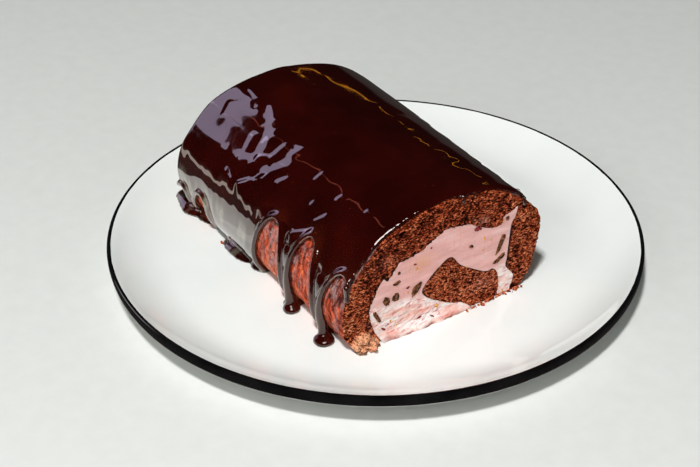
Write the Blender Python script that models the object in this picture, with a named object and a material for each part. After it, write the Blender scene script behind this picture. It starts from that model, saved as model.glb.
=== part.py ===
"""A cut length of a glazed ice cream roll on its dinner plate.

The plate's middle is the origin, on the table. The roll lies along X with the
cut face that shows at +X, and the side with the long drips faces -Y.
"""

import math

import bmesh
import bpy
from mathutils import Vector, noise

MM = 0.001
GAP = 0.3  # mm of air between pieces that touch
PLANE_STEP = 3.0  # mm between points along the outlines of the cut face

# The plate, in millimetres.
PLATE_RADIUS = 136.8
RIM_HEIGHT = 20.0
FLOOR_HEIGHT = 8.0
FLAT_RADIUS = 104.0
LIP_WIDTH = 1.8
LIP_DEPTH = 5.3
FOOT_RADIUS = 82.0
FOOT_WIDTH = 6.0
FOOT_HEIGHT = 2.8
PLATE_STEPS = 88

# The roll, in millimetres. Its section is drawn in (across, up): across from
# the roll's middle line, up from the plate's floor.
FRONT_X = 68.2
ROLL_Y = -6.8
REAR_X = -85.8
REAR_LEAN_ACROSS = 0.084
REAR_LEAN_UP = -0.044
SPANS = 4
BASE = 0.3

# Knots of the smooth lines in the cut face: the outside of the three sheets of
# sponge, the seams between them, and their inner faces.
WRAP_OUTSIDE = [(-49.5, BASE), (-55.8, 9.5), (-57.2, 20), (-54.5, 33), (-47.8, 43),
                (-36, 55), (-19, 62.3), (0, 65.6), (17.2, 63.6)]
LID_OUTSIDE = [(17.2, 63.6), (27, 62.5), (38, 58), (46.5, 52), (49, 49.8)]
SIDE_OUTSIDE = [(49, 49.8), (55.2, 43.5), (58.3, 35), (57, 22), (53, 8), (46.5, BASE)]
LEFT_SEAM = [(17.2, 63.6), (14.5, 57.5), (11.6, 48.7)]
RIGHT_SEAM = [(43.6, 48.6), (46.5, 49.6), (49, 49.8)]
WRAP_INSIDE = [(-35.2, BASE), (-39.3, 7.7), (-42, 19.5), (-39, 27.3), (-34.7, 35),
               (-31.5, 33.6), (-25, 41), (-14.7, 42.9), (-6.6, 46.8), (2, 50.3), (11.6, 48.7)]
LID_INSIDE = [(11.6, 48.7), (15.5, 48.2), (19.5, 45.5), (28, 41.5), (34.4, 42), (35.6, 45.4),
              (43.6, 48.6)]
SIDE_INSIDE = [(43.6, 48.6), (42.3, 43.5), (40, 38.5), (38.6, 21), (38.2, 15.5), (43.3, 8.2),
               (40.4, BASE)]
CORE_OUTSIDE = [(17.3, BASE), (12, 4), (3, 7.4), (-9.8, 16), (-10.8, 22.5), (3, 33.6),
                (11, 26.3), (25, 17.6), (30, 17.2), (33, 13.8), (34.2, 7), (33.4, BASE)]

# The glaze, in millimetres.
GLAZE_DEPTH = 2.6
GLAZE_VOXEL = 1.3
GLAZE_SMOOTHING = 6
GLAZE_KEEP = 0.06  # share of the remeshed faces that is kept
GLAZE_END = 0.003  # share of the roll's length that the poured coat stops short of each cut

# Arched places where the glaze parted and the sponge shows, one row for each:
# middle along X, half width, height of the arch, lean of its top towards +X.
LEFT_ARCHES = [(-89, 6, 14, 3), (-68, 7.5, 19, 3), (2.2, 12.2, 39.5, 1),
               (34.2, 10.8, 43.5, -2.5), (62, 11, 40.5, 0.5)]
RIGHT_ARCHES = [(-73, 9, 33, 0), (-43, 8, 24, 2), (-13, 12, 38, -2), (20, 9, 29, 1),
                (60, 14.5, 48, 0)]
# An arch is fuller than an ellipse by these powers and narrows towards its top by this share.
ARCH_FULL_ACROSS = 0.8
ARCH_FULL_UP = 0.72
ARCH_NARROWING = 0.12
ARCH_STEPS = 20
# The cutter of an arch reaches from inside the sponge to clear of the coat, from the middle line.
ARCH_NEAR = 40.0
ARCH_FAR = 75.0

# Runs of glaze that hang clear of the roll's side down to the plate: X at the
# top, X at the foot, radius, radius of the drop at the foot.
LEFT_RUNS = [(18.8, 22.8, 3.4, 4.3), (47.9, 52.6, 2.9, 5.3)]
RIGHT_RUNS = [(-57.5, -58, 3.2, 5), (-29, -27, 3.4, 4.6), (4.5, 6, 3, 5.2), (35, 38, 3.3, 4.8)]
RUN_TOP = 30.0
RUN_ACROSS = 57.6
FOOT_DROP_DRIFT = 0.8  # how far towards +X a run's drop has crept past it
FOOT_DROP_RAISE = 0.4  # height of the drop's middle over the plate
FOOT_DROP_HALF_HEIGHT = 3.4
# Pools on the plate: X, Y, half length, half width, height.
POOLS = [(-93, -60.5, 12, 5.5, 2.6), (-84, -61.5, 9.5, 6.5, 2.8), (-74, -59.8, 10, 4.6, 2.4),
         (-35, -61.8, 12.5, 4.8, 2.6), (-17, -60, 5.5, 3.4, 2.2), (20.5, -63, 5.5, 3.6, 2.2)]
# Short drops that ran over the cut edge: across, up at the top, up at the tip, radius.
EDGE_DROPS = [(-54.6, 38, 31.6, 2.0), (10.3, 65, 62.4, 1.3), (48.4, 51, 48, 1.5)]
EDGE_DROP_BACK = -0.2  # X of a drop's top and tip, past the cut
EDGE_DROP_OUT = 0.3

# Flakes of chocolate in the cut face: across, up, length, width, turn in degrees.
FLAKES = [(-37.8, 14.8, 9, 2.8, -64), (-32.5, 22.4, 6.4, 4.4, -50), (-27, 22.6, 4.6, 3.8, 60),
          (-27.2, 30.3, 5, 1.8, 12), (-15.2, 22.8, 10.5, 4.4, 48), (34, 30.2, 12.6, 2.8, 69),
          (33.4, 21.8, 8.6, 2.8, 38), (16.2, 35.5, 2.6, 1.4, -15), (37.6, 44, 2.6, 2.0, 50)]
FLAKE_PROUD = 0.5
FLAKE_DEPTH = 2.5

# How far the softened foot of each piece has spread past the cut, and how high that reaches.
TOES = {"ice_cream": 3.0, "sponge_core": 1.6, "sponge_side": 0.8}
TOE_HEIGHT = 5.0
TOE_MIDDLE = -10.0  # across, where the spread is widest
TOE_REACH = 50.0  # across, from there to where it has faded
TOE_LEAST = 0.2  # share of the spread that is left aside
TOE_RAGGED = 0.5  # share by which the spread varies
TOE_RAGGED_SCALE = 0.21
TOE_CURVE = 1.5

# The crumbled foot of the outer sponge: across, X past the cut, half sizes along X, across, up.
FOOT_CRUMBS = [(-46.5, 0.5, 5, 5.5, 6), (-41.5, 1.6, 3.4, 3.8, 3), (-50, 0, 3, 3.5, 4)]
CRUMB_RAISE = 0.62  # height of a crumb's middle, as a share of its half height
CRUMB_ROUGH = 0.35
CRUMB_ROUGH_SCALE = 2.3


def smooth_line(knots, step=PLANE_STEP):
    """Points at about the given spacing on the smooth curve through the knots."""
    knots = [Vector(knot) for knot in knots]
    padded = [2 * knots[0] - knots[1]] + knots + [2 * knots[-1] - knots[-2]]
    points = []
    for a, b, c, d in zip(padded, padded[1:], padded[2:], padded[3:]):
        count = max(1, round((c - b).length / step))
        for i in range(count):
            t = i / count
            rest = (c - a) * t + (2 * a - 5 * b + 4 * c - d) * t**2 + (3 * b - a - 3 * c + d) * t**3
            points.append(b + 0.5 * rest)
    return points + [knots[-1]]


def joined(*lines):
    """One closed outline from lines that follow each other, without doubled corners."""
    outline = []
    for point in (point for line in lines for point in line):
        if not outline or (point - outline[-1]).length > 0.05:
            outline.append(point)
    if (outline[0] - outline[-1]).length < 0.05:
        outline.pop()
    return outline


def offset(outline, distance):
    """The closed outline moved outwards along its corners' normals."""
    area = sum(a.x * b.y - b.x * a.y for a, b in zip(outline, outline[1:] + outline[:1]))
    side = distance * math.copysign(1.0, area)
    moved = []
    for i, point in enumerate(outline):
        before = (point - outline[i - 1]).normalized()
        after = (outline[(i + 1) % len(outline)] - point).normalized()
        along = (before + after).normalized()
        moved.append(point + side * Vector((along.y, -along.x)))
    return moved


def plate_top(radius):
    """Height of the plate's upper face above the table."""
    rise = max(0.0, radius - FLAT_RADIUS) / (PLATE_RADIUS - LIP_WIDTH - FLAT_RADIUS)
    return FLOOR_HEIGHT + (RIM_HEIGHT - FLOOR_HEIGHT) * min(1.0, rise) ** 2


def free_point(across, up, share):
    """Place in mm of a point of the section, at a share of the way from the rear to the front."""
    rear = REAR_X + REAR_LEAN_ACROSS * across + REAR_LEAN_UP * up
    return Vector((rear + share * (FRONT_X - rear), ROLL_Y + across, FLOOR_HEIGHT + up))


def roll_point(across, up, share, past=0.0):
    """The same place moved along X and lifted clear of the plate."""
    point = free_point(across, up, share)
    point.x += past
    point.z = max(point.z, plate_top(math.hypot(point.x, point.y)) + GAP)
    return point


def clear_scene():
    for thing in list(bpy.data.objects):
        bpy.data.objects.remove(thing, do_unlink=True)


def material(name, color, roughness, metallic=0.0):
    made = bpy.data.materials.new(name)
    made.use_nodes = True
    shader = made.node_tree.nodes["Principled BSDF"]
    shader.inputs["Base Color"].default_value = (*color, 1.0)
    shader.inputs["Roughness"].default_value = roughness
    shader.inputs["Metallic"].default_value = metallic
    return made


def mesh_object(name, bm, paint=None, helper=False):
    """A new object from a bmesh in millimetres."""
    bmesh.ops.recalc_face_normals(bm, faces=bm.faces)
    bmesh.ops.scale(bm, vec=(MM, MM, MM), verts=bm.verts)
    mesh = bpy.data.meshes.new(name)
    bm.to_mesh(mesh)
    bm.free()
    made = bpy.data.objects.new(name, mesh)
    bpy.context.scene.collection.objects.link(made)
    if paint:
        mesh.materials.append(paint)
        mesh.shade_smooth()
        mesh.set_sharp_from_angle(angle=math.radians(40))
    if helper:
        made.hide_render = True
        made.display_type = "WIRE"
    return made


def loft(bm, sections):
    """A closed body through rings of points that all have the same count."""
    rings = [[bm.verts.new(point) for point in section] for section in sections]
    for low, high in zip(rings, rings[1:]):
        for i in range(len(low)):
            j = (i + 1) % len(low)
            bm.faces.new((low[i], low[j], high[j], high[i]))
    bm.faces.new(rings[0])
    bm.faces.new(rings[-1])


def run_through(bm, outline):
    """A body of the outline's section that runs along the roll from the rear to the front."""
    shares = [i / SPANS for i in range(SPANS + 1)]
    loft(bm, [[roll_point(p.x, p.y, share) for p in outline] for share in shares])


def ball(bm, middle, sizes, facets=2, crumb=0.0):
    """A ball with three half sizes, roughened by up to the crumb share of its size."""
    made = bmesh.ops.create_icosphere(bm, subdivisions=facets, radius=1.0)
    for vert in made["verts"]:
        rough = 1.0 + crumb * noise.noise(vert.co * CRUMB_ROUGH_SCALE + Vector(middle))
        vert.co = Vector(middle) + Vector([rough * c * s for c, s in zip(vert.co, sizes)])


def drop(bm, top, foot, radius):
    """A round-ended run from one point to another."""
    along = Vector(foot) - Vector(top)
    turn = along.to_track_quat("Z", "Y").to_matrix().to_4x4()
    middle = (Vector(top) + Vector(foot)) / 2
    made = bmesh.ops.create_uvsphere(bm, u_segments=12, v_segments=8, radius=radius)
    for vert in made["verts"]:
        vert.co.z += math.copysign(along.length / 2, vert.co.z) if abs(vert.co.z) > 1e-6 else 0.0
        vert.co = middle + turn @ vert.co


def boolean(made, other, operation):
    step = made.modifiers.new(operation.title(), "BOOLEAN")
    step.operation = operation
    step.object = other
    step.solver = "EXACT"


def apply_modifiers(made):
    """Freezes an object's modifiers in its mesh."""
    graph = bpy.context.evaluated_depsgraph_get()
    mesh = bpy.data.meshes.new_from_object(made.evaluated_get(graph), depsgraph=graph)
    made.modifiers.clear()
    made.data = mesh


def remove(*things):
    for thing in things:
        bpy.data.objects.remove(thing, do_unlink=True)


def turned(name, profile, paint=None, helper=False):
    """A solid of revolution about Z from a profile that starts and ends on the axis."""
    bm = bmesh.new()
    verts = [bm.verts.new((r, 0.0, z)) for r, z in profile]
    edges = [bm.edges.new(pair) for pair in zip(verts, verts[1:])]
    bmesh.ops.spin(bm, geom=verts + edges, cent=(0, 0, 0), axis=(0, 0, 1),
                   angle=2 * math.pi, steps=PLATE_STEPS, use_merge=True)
    bmesh.ops.remove_doubles(bm, verts=bm.verts, dist=0.001)
    return mesh_object(name, bm, paint, helper)


def build_plate():
    rim = PLATE_RADIUS - LIP_WIDTH
    top = [(0.0, FLOOR_HEIGHT), (60.0, FLOOR_HEIGHT)]
    top += [(FLAT_RADIUS + t * (rim - FLAT_RADIUS), plate_top(FLAT_RADIUS + t * (rim - FLAT_RADIUS)))
            for t in (0.0, 0.25, 0.5, 0.75, 1.0)]
    lip = [(PLATE_RADIUS - 0.5, RIM_HEIGHT - 0.4), (PLATE_RADIUS, RIM_HEIGHT - 1.6),
           (PLATE_RADIUS - 0.4, RIM_HEIGHT - LIP_DEPTH)]
    foot_inside = FOOT_RADIUS - FOOT_WIDTH
    under = [(126.0, 8.6), (112.0, 4.6), (94.0, 3.2), (FOOT_RADIUS + 1.0, FOOT_HEIGHT),
             (FOOT_RADIUS, 0.0), (foot_inside, 0.0), (foot_inside - 1.0, FOOT_HEIGHT),
             (0.0, FOOT_HEIGHT)]
    glazed = material("glazed_white", (0.86, 0.87, 0.84), 0.08)
    return turned("plate", top + lip + under, glazed)


def build_sponge():
    """The four pieces of sponge, each cut clean through at both ends."""
    crumb = material("chocolate_sponge", (0.16, 0.045, 0.022), 0.85)
    wrap_out, wrap_in = smooth_line(WRAP_OUTSIDE), smooth_line(WRAP_INSIDE)
    lid_out, lid_in = smooth_line(LID_OUTSIDE), smooth_line(LID_INSIDE)
    side_out, side_in = smooth_line(SIDE_OUTSIDE), smooth_line(SIDE_INSIDE)
    left_seam, right_seam = smooth_line(LEFT_SEAM), smooth_line(RIGHT_SEAM)
    outlines = {
        "sponge_wrap": joined(wrap_out, left_seam, wrap_in[::-1]),
        "sponge_lid": joined(lid_out, right_seam[::-1], lid_in[::-1], left_seam[::-1]),
        "sponge_side": joined(side_out, side_in[::-1], right_seam),
        "sponge_core": joined(smooth_line(CORE_OUTSIDE)),
    }
    for name, outline in outlines.items():
        bm = bmesh.new()
        run_through(bm, offset(outline, -GAP / 2))
        if name in TOES:
            spread_toe(bm, name)
        mesh_object(name, bm, crumb)
    crumble_foot(bpy.data.objects["sponge_wrap"])


def spread_toe(bm, name):
    """Lets the foot of the front cut lean forward over the plate."""
    line = FLOOR_HEIGHT + TOE_HEIGHT
    bmesh.ops.bisect_plane(bm, geom=bm.verts[:] + bm.edges[:] + bm.faces[:],
                           plane_co=(0, 0, line), plane_no=(0, 0, 1))
    for vert in bm.verts:
        if vert.co.x > FRONT_X - 1.0 and vert.co.z < line - 0.01:
            low = (line - vert.co.z) / TOE_HEIGHT
            aside = (vert.co.y - ROLL_Y - TOE_MIDDLE) / TOE_REACH
            ragged = 1.0 + TOE_RAGGED * noise.noise(vert.co * TOE_RAGGED_SCALE)
            vert.co.x += TOES[name] * max(TOE_LEAST, 1.0 - aside**2) * ragged * low**TOE_CURVE


def crumble_foot(wrap):
    """The outer sponge's foot, squashed forward past the cut in crumbs."""
    for across, past, deep, wide, high in FOOT_CRUMBS:
        bm = bmesh.new()
        middle = roll_point(across, high * CRUMB_RAISE, 1.0, past)
        ball(bm, middle, (deep, wide, high), crumb=CRUMB_ROUGH)
        for vert in bm.verts:
            vert.co.z = max(vert.co.z, FLOOR_HEIGHT + GAP)
        bmesh.ops.remove_doubles(bm, verts=bm.verts, dist=0.01)
        crumbs = mesh_object("crumbs", bm, helper=True)
        boolean(wrap, crumbs, "UNION")
        apply_modifiers(wrap)
        remove(crumbs)


def build_ice_cream():
    """One body of ice cream round the core, with the flakes that show at its cut fused on."""
    paint = material("pink_ice_cream", (0.84, 0.49, 0.45), 0.45)
    inside = smooth_line(WRAP_INSIDE) + smooth_line(LID_INSIDE) + smooth_line(SIDE_INSIDE)
    outline = joined(inside, smooth_line(CORE_OUTSIDE)[::-1])
    bm = bmesh.new()
    run_through(bm, offset(outline, -GAP / 2))
    spread_toe(bm, "ice_cream")
    ice = mesh_object("ice_cream", bm, paint)
    for flake in FLAKES:
        for share, past in ((1.0, FLAKE_PROUD), (0.0, -FLAKE_PROUD)):
            fuse_flake(ice, flake, share, past)
    return ice


def fuse_flake(ice, flake, share, past):
    """A six-sided flake that stands a little proud of one cut face."""
    across, up, length, width, turn = flake
    facing = Vector((math.cos(math.radians(turn)), math.sin(math.radians(turn))))
    aside = Vector((-facing.y, facing.x))
    ends = [(-0.5, 0.0), (-0.25, 0.5), (0.3, 0.4), (0.5, 0.05), (0.2, -0.5), (-0.3, -0.45)]
    points = [Vector((across, up)) + a * length * facing + b * width * aside for a, b in ends]
    inward = -math.copysign(FLAKE_DEPTH, past)
    bm = bmesh.new()
    loft(bm, [[roll_point(p.x, p.y, share, past) for p in points],
              [roll_point(p.x, p.y, share, inward) for p in points]])
    body = mesh_object("flake", bm, helper=True)
    boolean(ice, body, "UNION")
    apply_modifiers(ice)
    remove(body)


def arch_cutter(arch, side):
    """A cutter for one arched opening in the glaze, on one side of the roll."""
    middle, half, height, lean = arch
    outline = []
    for i in range(ARCH_STEPS + 1):
        angle = math.pi * i / ARCH_STEPS
        across = math.copysign(abs(math.cos(angle)) ** ARCH_FULL_ACROSS, math.cos(angle))
        rise = abs(math.sin(angle)) ** ARCH_FULL_UP
        x = middle - half * across * (1.0 - ARCH_NARROWING * rise**2) + lean * rise
        outline.append((x, FLOOR_HEIGHT + height * rise))
    outline[0] = (outline[0][0], 0.0)
    outline[-1] = (outline[-1][0], 0.0)
    near, far = ROLL_Y + side * ARCH_NEAR, ROLL_Y + side * ARCH_FAR
    bm = bmesh.new()
    loft(bm, [[(x, near, z) for x, z in outline], [(x, far, z) for x, z in outline]])
    return mesh_object("arch", bm, helper=True)


def roll_outside():
    """The outline of the whole section, without its foot."""
    lines = smooth_line(WRAP_OUTSIDE), smooth_line(LID_OUTSIDE), smooth_line(SIDE_OUTSIDE)
    return joined(*lines)


def reach_down(outline, low):
    """The outline with its two ends carried down past the plate's floor."""
    first, last = outline[0], outline[-1]
    return [Vector((first.x, low))] + outline + [Vector((last.x, low))]


def glaze_runs():
    """The runs, drops and pools of glaze, as closed bodies in one mesh."""
    bm = bmesh.new()
    for side, runs in ((-1, LEFT_RUNS), (1, RIGHT_RUNS)):
        for top_x, foot_x, radius, foot_radius in runs:
            y = ROLL_Y + side * RUN_ACROSS
            drop(bm, (top_x, y, FLOOR_HEIGHT + RUN_TOP), (foot_x, y, FLOOR_HEIGHT), radius)
            ball(bm, (foot_x + FOOT_DROP_DRIFT, y, FLOOR_HEIGHT + FOOT_DROP_RAISE),
                 (foot_radius, foot_radius, FOOT_DROP_HALF_HEIGHT))
    for x, y, long, wide, high in POOLS:
        ball(bm, (x, y, plate_top(math.hypot(x, y))), (long, wide, high), facets=3)
    for across, top, tip, radius in EDGE_DROPS:
        y = ROLL_Y + across
        drop(bm, (FRONT_X + EDGE_DROP_BACK, y, FLOOR_HEIGHT + top),
             (FRONT_X + EDGE_DROP_OUT, y, FLOOR_HEIGHT + tip), radius)
    return mesh_object("runs", bm, helper=True)


def build_glaze():
    """The poured coat: parted in arches along both sides, with runs and pools below."""
    paint = material("dark_glaze", (0.022, 0.004, 0.003), 0.06)
    below = -6.0
    body_line = reach_down(offset(roll_outside(), GLAZE_DEPTH), below)
    core_line = reach_down(offset(roll_outside(), GAP), below)

    bm = bmesh.new()
    loft(bm, [[free_point(p.x, p.y, share) for p in body_line] for share in (GLAZE_END, 1 - GLAZE_END)])
    glaze = mesh_object("glaze", bm, paint)

    arches = [arch_cutter(arch, -1) for arch in LEFT_ARCHES]
    arches += [arch_cutter(arch, 1) for arch in RIGHT_ARCHES]
    for cutter in arches:
        boolean(glaze, cutter, "DIFFERENCE")
    apply_modifiers(glaze)
    remove(*arches)

    runs = glaze_runs()
    runs_mesh = bmesh.new()
    runs_mesh.from_mesh(glaze.data)
    runs_mesh.from_mesh(runs.data)
    runs_mesh.to_mesh(glaze.data)
    runs_mesh.free()
    remove(runs)

    remesh = glaze.modifiers.new("Flow together", "REMESH")
    remesh.mode = "VOXEL"
    remesh.voxel_size = GLAZE_VOXEL * MM
    relax = glaze.modifiers.new("Relax", "SMOOTH")
    relax.iterations = GLAZE_SMOOTHING
    thin = glaze.modifiers.new("Thin out", "DECIMATE")
    thin.ratio = GLAZE_KEEP
    apply_modifiers(glaze)

    past_front = 1.0 + GAP / (FRONT_X - REAR_X)
    bm = bmesh.new()
    loft(bm, [[free_point(p.x, p.y, share) for p in core_line] for share in (-0.1, past_front)])
    core = mesh_object("core", bm, helper=True)
    boolean(glaze, core, "DIFFERENCE")
    floor = turned("floor", cutter_profile(), helper=True)
    boolean(glaze, floor, "DIFFERENCE")
    apply_modifiers(glaze)
    remove(core, floor)
    return glaze


def cutter_profile():
    """The plate's upper face raised by the gap, over a deep body."""
    deep = -20.0
    top = [(0.0, FLOOR_HEIGHT + GAP)]
    for i in range(7):
        radius = FLAT_RADIUS + i * (PLATE_RADIUS - FLAT_RADIUS) / 6
        top.append((radius, plate_top(radius) + GAP))
    return top + [(PLATE_RADIUS, deep), (0.0, deep)]


clear_scene()
build_plate()
build_sponge()
build_ice_cream()
build_glaze()
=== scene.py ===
import math
import random

import bpy
import numpy as np
from mathutils import Matrix, Vector, geometry, noise


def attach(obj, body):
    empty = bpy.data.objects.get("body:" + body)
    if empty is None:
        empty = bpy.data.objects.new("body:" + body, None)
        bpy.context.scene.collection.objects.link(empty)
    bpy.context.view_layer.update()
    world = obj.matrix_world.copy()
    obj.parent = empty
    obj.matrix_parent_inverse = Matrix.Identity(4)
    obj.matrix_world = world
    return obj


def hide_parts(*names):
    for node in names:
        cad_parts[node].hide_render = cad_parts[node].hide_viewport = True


# A length of glazed ice cream roll on its dinner plate. The plate's middle is the origin, the roll
# lies along X, and the cut face that the camera sees is at +X. Lists and settings are in millimetres.

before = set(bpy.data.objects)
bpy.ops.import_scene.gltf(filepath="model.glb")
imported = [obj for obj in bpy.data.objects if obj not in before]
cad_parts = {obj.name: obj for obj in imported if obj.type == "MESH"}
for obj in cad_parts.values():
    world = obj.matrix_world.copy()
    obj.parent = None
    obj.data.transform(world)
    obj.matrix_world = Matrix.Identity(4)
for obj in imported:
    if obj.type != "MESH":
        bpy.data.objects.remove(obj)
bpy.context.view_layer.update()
mm = 0.001


# ---------- small helpers

def deselectAll():
    if bpy.context.object and bpy.context.object.mode != "OBJECT":
        bpy.ops.object.mode_set(mode="OBJECT")
    bpy.ops.object.select_all(action="DESELECT")


def makeActive(piece):
    deselectAll()
    piece.select_set(True)
    bpy.context.view_layer.objects.active = piece


def smoothLine(knots, step=0.5):
    # evenly spaced points on the smooth curve through the knots
    knots = [np.array(knot, float) for knot in knots]
    padded = [2 * knots[0] - knots[1]] + knots + [2 * knots[-1] - knots[-2]]
    points = []
    for a, b, c, d in zip(padded, padded[1:], padded[2:], padded[3:]):
        count = max(1, round(np.linalg.norm(c - b) / step))
        for t in np.arange(count) / count:
            rest = (c - a) * t + (2 * a - 5 * b + 4 * c - d) * t**2 + (3 * b - a - 3 * c + d) * t**3
            points.append(b + 0.5 * rest)
    return np.array(points + [knots[-1]])


def joinLines(*lines):
    # one closed outline, without doubled corners
    outline = []
    for point in np.vstack(lines):
        if not outline or np.linalg.norm(point - outline[-1]) > 0.05:
            outline.append(point)
    if np.linalg.norm(outline[0] - outline[-1]) < 0.05:
        outline.pop()
    return np.array(outline)


def outwardNormals(outline):
    along = np.roll(outline, -1, 0) - np.roll(outline, 1, 0)
    along /= np.linalg.norm(along, axis=1)[:, None]
    area = np.sum(outline[:, 0] * np.roll(outline[:, 1], -1) - np.roll(outline[:, 0], -1) * outline[:, 1])
    return np.stack([along[:, 1], -along[:, 0]], 1) * np.sign(area)


def lineDistance(points, line, closed=False):
    # distance and side of the nearest place on a line, and how far along it that is
    ends = np.roll(line, -1, 0) if closed else line[1:]
    starts = line if closed else line[:-1]
    runs = ends - starts
    lengths = np.linalg.norm(runs, axis=1)
    before = np.concatenate([[0.0], np.cumsum(lengths)[:-1]])
    best = np.full(len(points), 1e9)
    side = np.ones(len(points))
    along = np.zeros(len(points))
    for i in range(len(starts)):
        offset = points - starts[i]
        t = np.clip((offset @ runs[i]) / (lengths[i] ** 2 + 1e-12), 0, 1)
        gap = offset - t[:, None] * runs[i]
        far = np.einsum("ij,ij->i", gap, gap)
        closer = far < best
        best[closer] = far[closer]
        turn = runs[i][0] * offset[:, 1] - runs[i][1] * offset[:, 0]
        side[closer] = np.sign(turn[closer])
        along[closer] = before[i] + t[closer] * lengths[i]
    return np.sqrt(best), side, along


def softNoise(points, size, seed, waves=28):
    # smooth wander between about -1 and 1, with features of about that size
    rng = np.random.default_rng(seed)
    total = 0.0
    for i in range(waves):
        direction = rng.normal(size=points.shape[1])
        direction *= rng.uniform(0.6, 1.5) * math.pi / (size * np.linalg.norm(direction))
        total = total + np.cos(points @ direction + rng.uniform(0, 2 * math.pi))
    return total / math.sqrt(waves)


def grain(points, sizes, seed=0.0):
    # the same from Blender's own noise, with a size for each axis
    scaled = points / np.array(sizes)
    return np.array([noise.noise((p[0] + seed, p[1], p[2] if len(p) > 2 else seed)) for p in scaled])


def smoothMin(a, b, k):
    h = np.clip(0.5 + 0.5 * (b - a) / k, 0, 1)
    return b + (a - b) * h - k * h * (1 - h)


def smoothMax(a, b, k):
    return -smoothMin(-a, -b, k)


def meshPiece(name, verts, faces, materials=()):
    mesh = bpy.data.meshes.new(name)
    mesh.from_pydata([tuple(v) for v in verts], [], [tuple(f) for f in faces])
    mesh.update()
    piece = bpy.data.objects.new(name, mesh)
    bpy.context.scene.collection.objects.link(piece)
    for made in materials:
        mesh.materials.append(made)
    return piece


def readPoints(piece):
    flat = np.zeros(len(piece.data.vertices) * 3)
    piece.data.vertices.foreach_get("co", flat)
    return flat.reshape(-1, 3) / mm


def writePoints(piece, points):
    piece.data.vertices.foreach_set("co", (points * mm).ravel())
    piece.data.update()


def writeMark(piece, name, values):
    # a number for each point, which the material reads by name
    piece.data.attributes.new(name, "FLOAT", "POINT")
    piece.data.attributes[name].data.foreach_set("value", np.asarray(values, np.float32))


def finishPiece(piece, nodes, angle=180):
    makeActive(piece)
    if angle < 180:
        bpy.ops.object.shade_smooth_by_angle(angle=math.radians(angle))
    else:
        bpy.ops.object.shade_smooth()
    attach(piece, "root")
    if nodes:
        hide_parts(*nodes)
    print(piece.name, "has", sum(len(p.vertices) - 2 for p in piece.data.polygons), "triangles")


# ---------- material helpers

def linear(hexColour):
    parts = [int(hexColour[i:i + 2], 16) / 255 for i in (1, 3, 5)]
    return [p / 12.92 if p <= 0.04045 else ((p + 0.055) / 1.055) ** 2.4 for p in parts] + [1.0]


def perMm(size):
    return 1000.0 / size  # a pattern's scale on Object coordinates, for a feature of that many millimetres


def addNode(tree, kind, settings=None, links=None):
    node = tree.nodes.new("ShaderNode" + kind)
    for name, value in (settings or {}).items():
        if name == "ramp":
            while len(node.color_ramp.elements) < len(value):
                node.color_ramp.elements.new(1.0)
            for element, (place, colour) in zip(node.color_ramp.elements, value):
                element.position = place
                element.color = linear(colour) if isinstance(colour, str) else [colour] * 3 + [1.0]
        elif isinstance(name, str) and hasattr(node, name):
            setattr(node, name, value)
        else:
            node.inputs[name].default_value = linear(value) if isinstance(value, str) else value
    for name, (source, socket) in (links or {}).items():
        tree.links.new(source.outputs[socket], node.inputs[name])
    return node


def newMaterial(name, settings):
    made = bpy.data.materials.new(name)
    made.use_nodes = True
    tree = made.node_tree
    shader = tree.nodes["Principled BSDF"]
    for key, value in settings.items():
        shader.inputs[key].default_value = linear(value) if isinstance(value, str) else value
    coords = addNode(tree, "TexCoord")
    return made, tree, shader, coords


# ---------- studio: floor, light and camera

studio = {
    "floorColour": "#D8D9D6",
    "floorSize": 6000,
    "ambient": 0.09,
    "aim": (-20, -20, 50),       # what every lamp faces
    # lamps: shape, place, the way the long side runs, long and short side, watts, colour
    "lamps": {
        "key": ("SQUARE", (651, -646, 1541), (1, 0, 0), 170, 170, 31.0, "#FFFFFF"),
        "fill": ("SQUARE", (650, -1500, 850), (1, 0, 0), 1300, 1300, 10.0, "#FFFFFF"),
        # what the glaze mirrors: two panes of a curtained window with brighter folds, a pale sill low down,
        # a strip of white at the left, and warm tubes on the far wall
        "paneLow": ("RECTANGLE", (-1357.0, -577.0, 604.0), (-0.004, 0.72, 0.693), 600, 480, 0.72, "#E2D6FF"),
        "paneHigh": ("RECTANGLE", (-1355.0, -192.7, 828.0), (0.007, 0.973, 0.232), 502, 470, 0.60, "#E2D6FF"),
        "sill": ("RECTANGLE", (-360, -295, 14), (-0.62, 0.79, 0), 300, 34, 0.026, "#FFF4EE"),
        "strip": ("RECTANGLE", (997, -542, 1340), (0.21, 0.95, 0.22), 740, 640, 7.0, "#FFFFFF"),
        "stripEnd": ("RECTANGLE", (1078, 40, 1425), (-0.1, 0.99, 0), 130, 320, 0.55, "#FFFFFF"),
        "tubeBend": ("RECTANGLE", (-1212, 845, 573), (0.15, 0.61, -0.777), 190, 4, 0.0034, "#FFA832"),
        "tubeFar": ("RECTANGLE", (-1146, 968, 424), (0.437, 0.539, -0.718), 190, 4, 0.0036, "#FFA832"),
        "tube": ("RECTANGLE", (-985, 1068, 385), (0.56, 0.51, -0.65), 200, 5, 0.0050, "#FFA832"),
        "shelfGlow": ("RECTANGLE", (-1053.8, -182.6, 1092.3), (0.877, -0.086, 0.472), 316, 22, 0.011, "#FF8870"),
    },
    "bounce": ("SQUARE", (-1230, -930, 620), (0, 0, 1), 700, 700, 2.5, "#FFFFFF"),  # seen only in the plate
    "plainLamps": ("key", "fill"),  # the others are seen only in the glaze
    "darkRoom": 0.004,           # what else the glaze mirrors, above the table's edge and below it
    "darkTable": 0.04,
    "cameraPlace": (567.7, -383.5, 471.9),
    "cameraFacing": (-0.6985, 0.4529, -0.5540),
    "cameraLens": 82.3,
}


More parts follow.
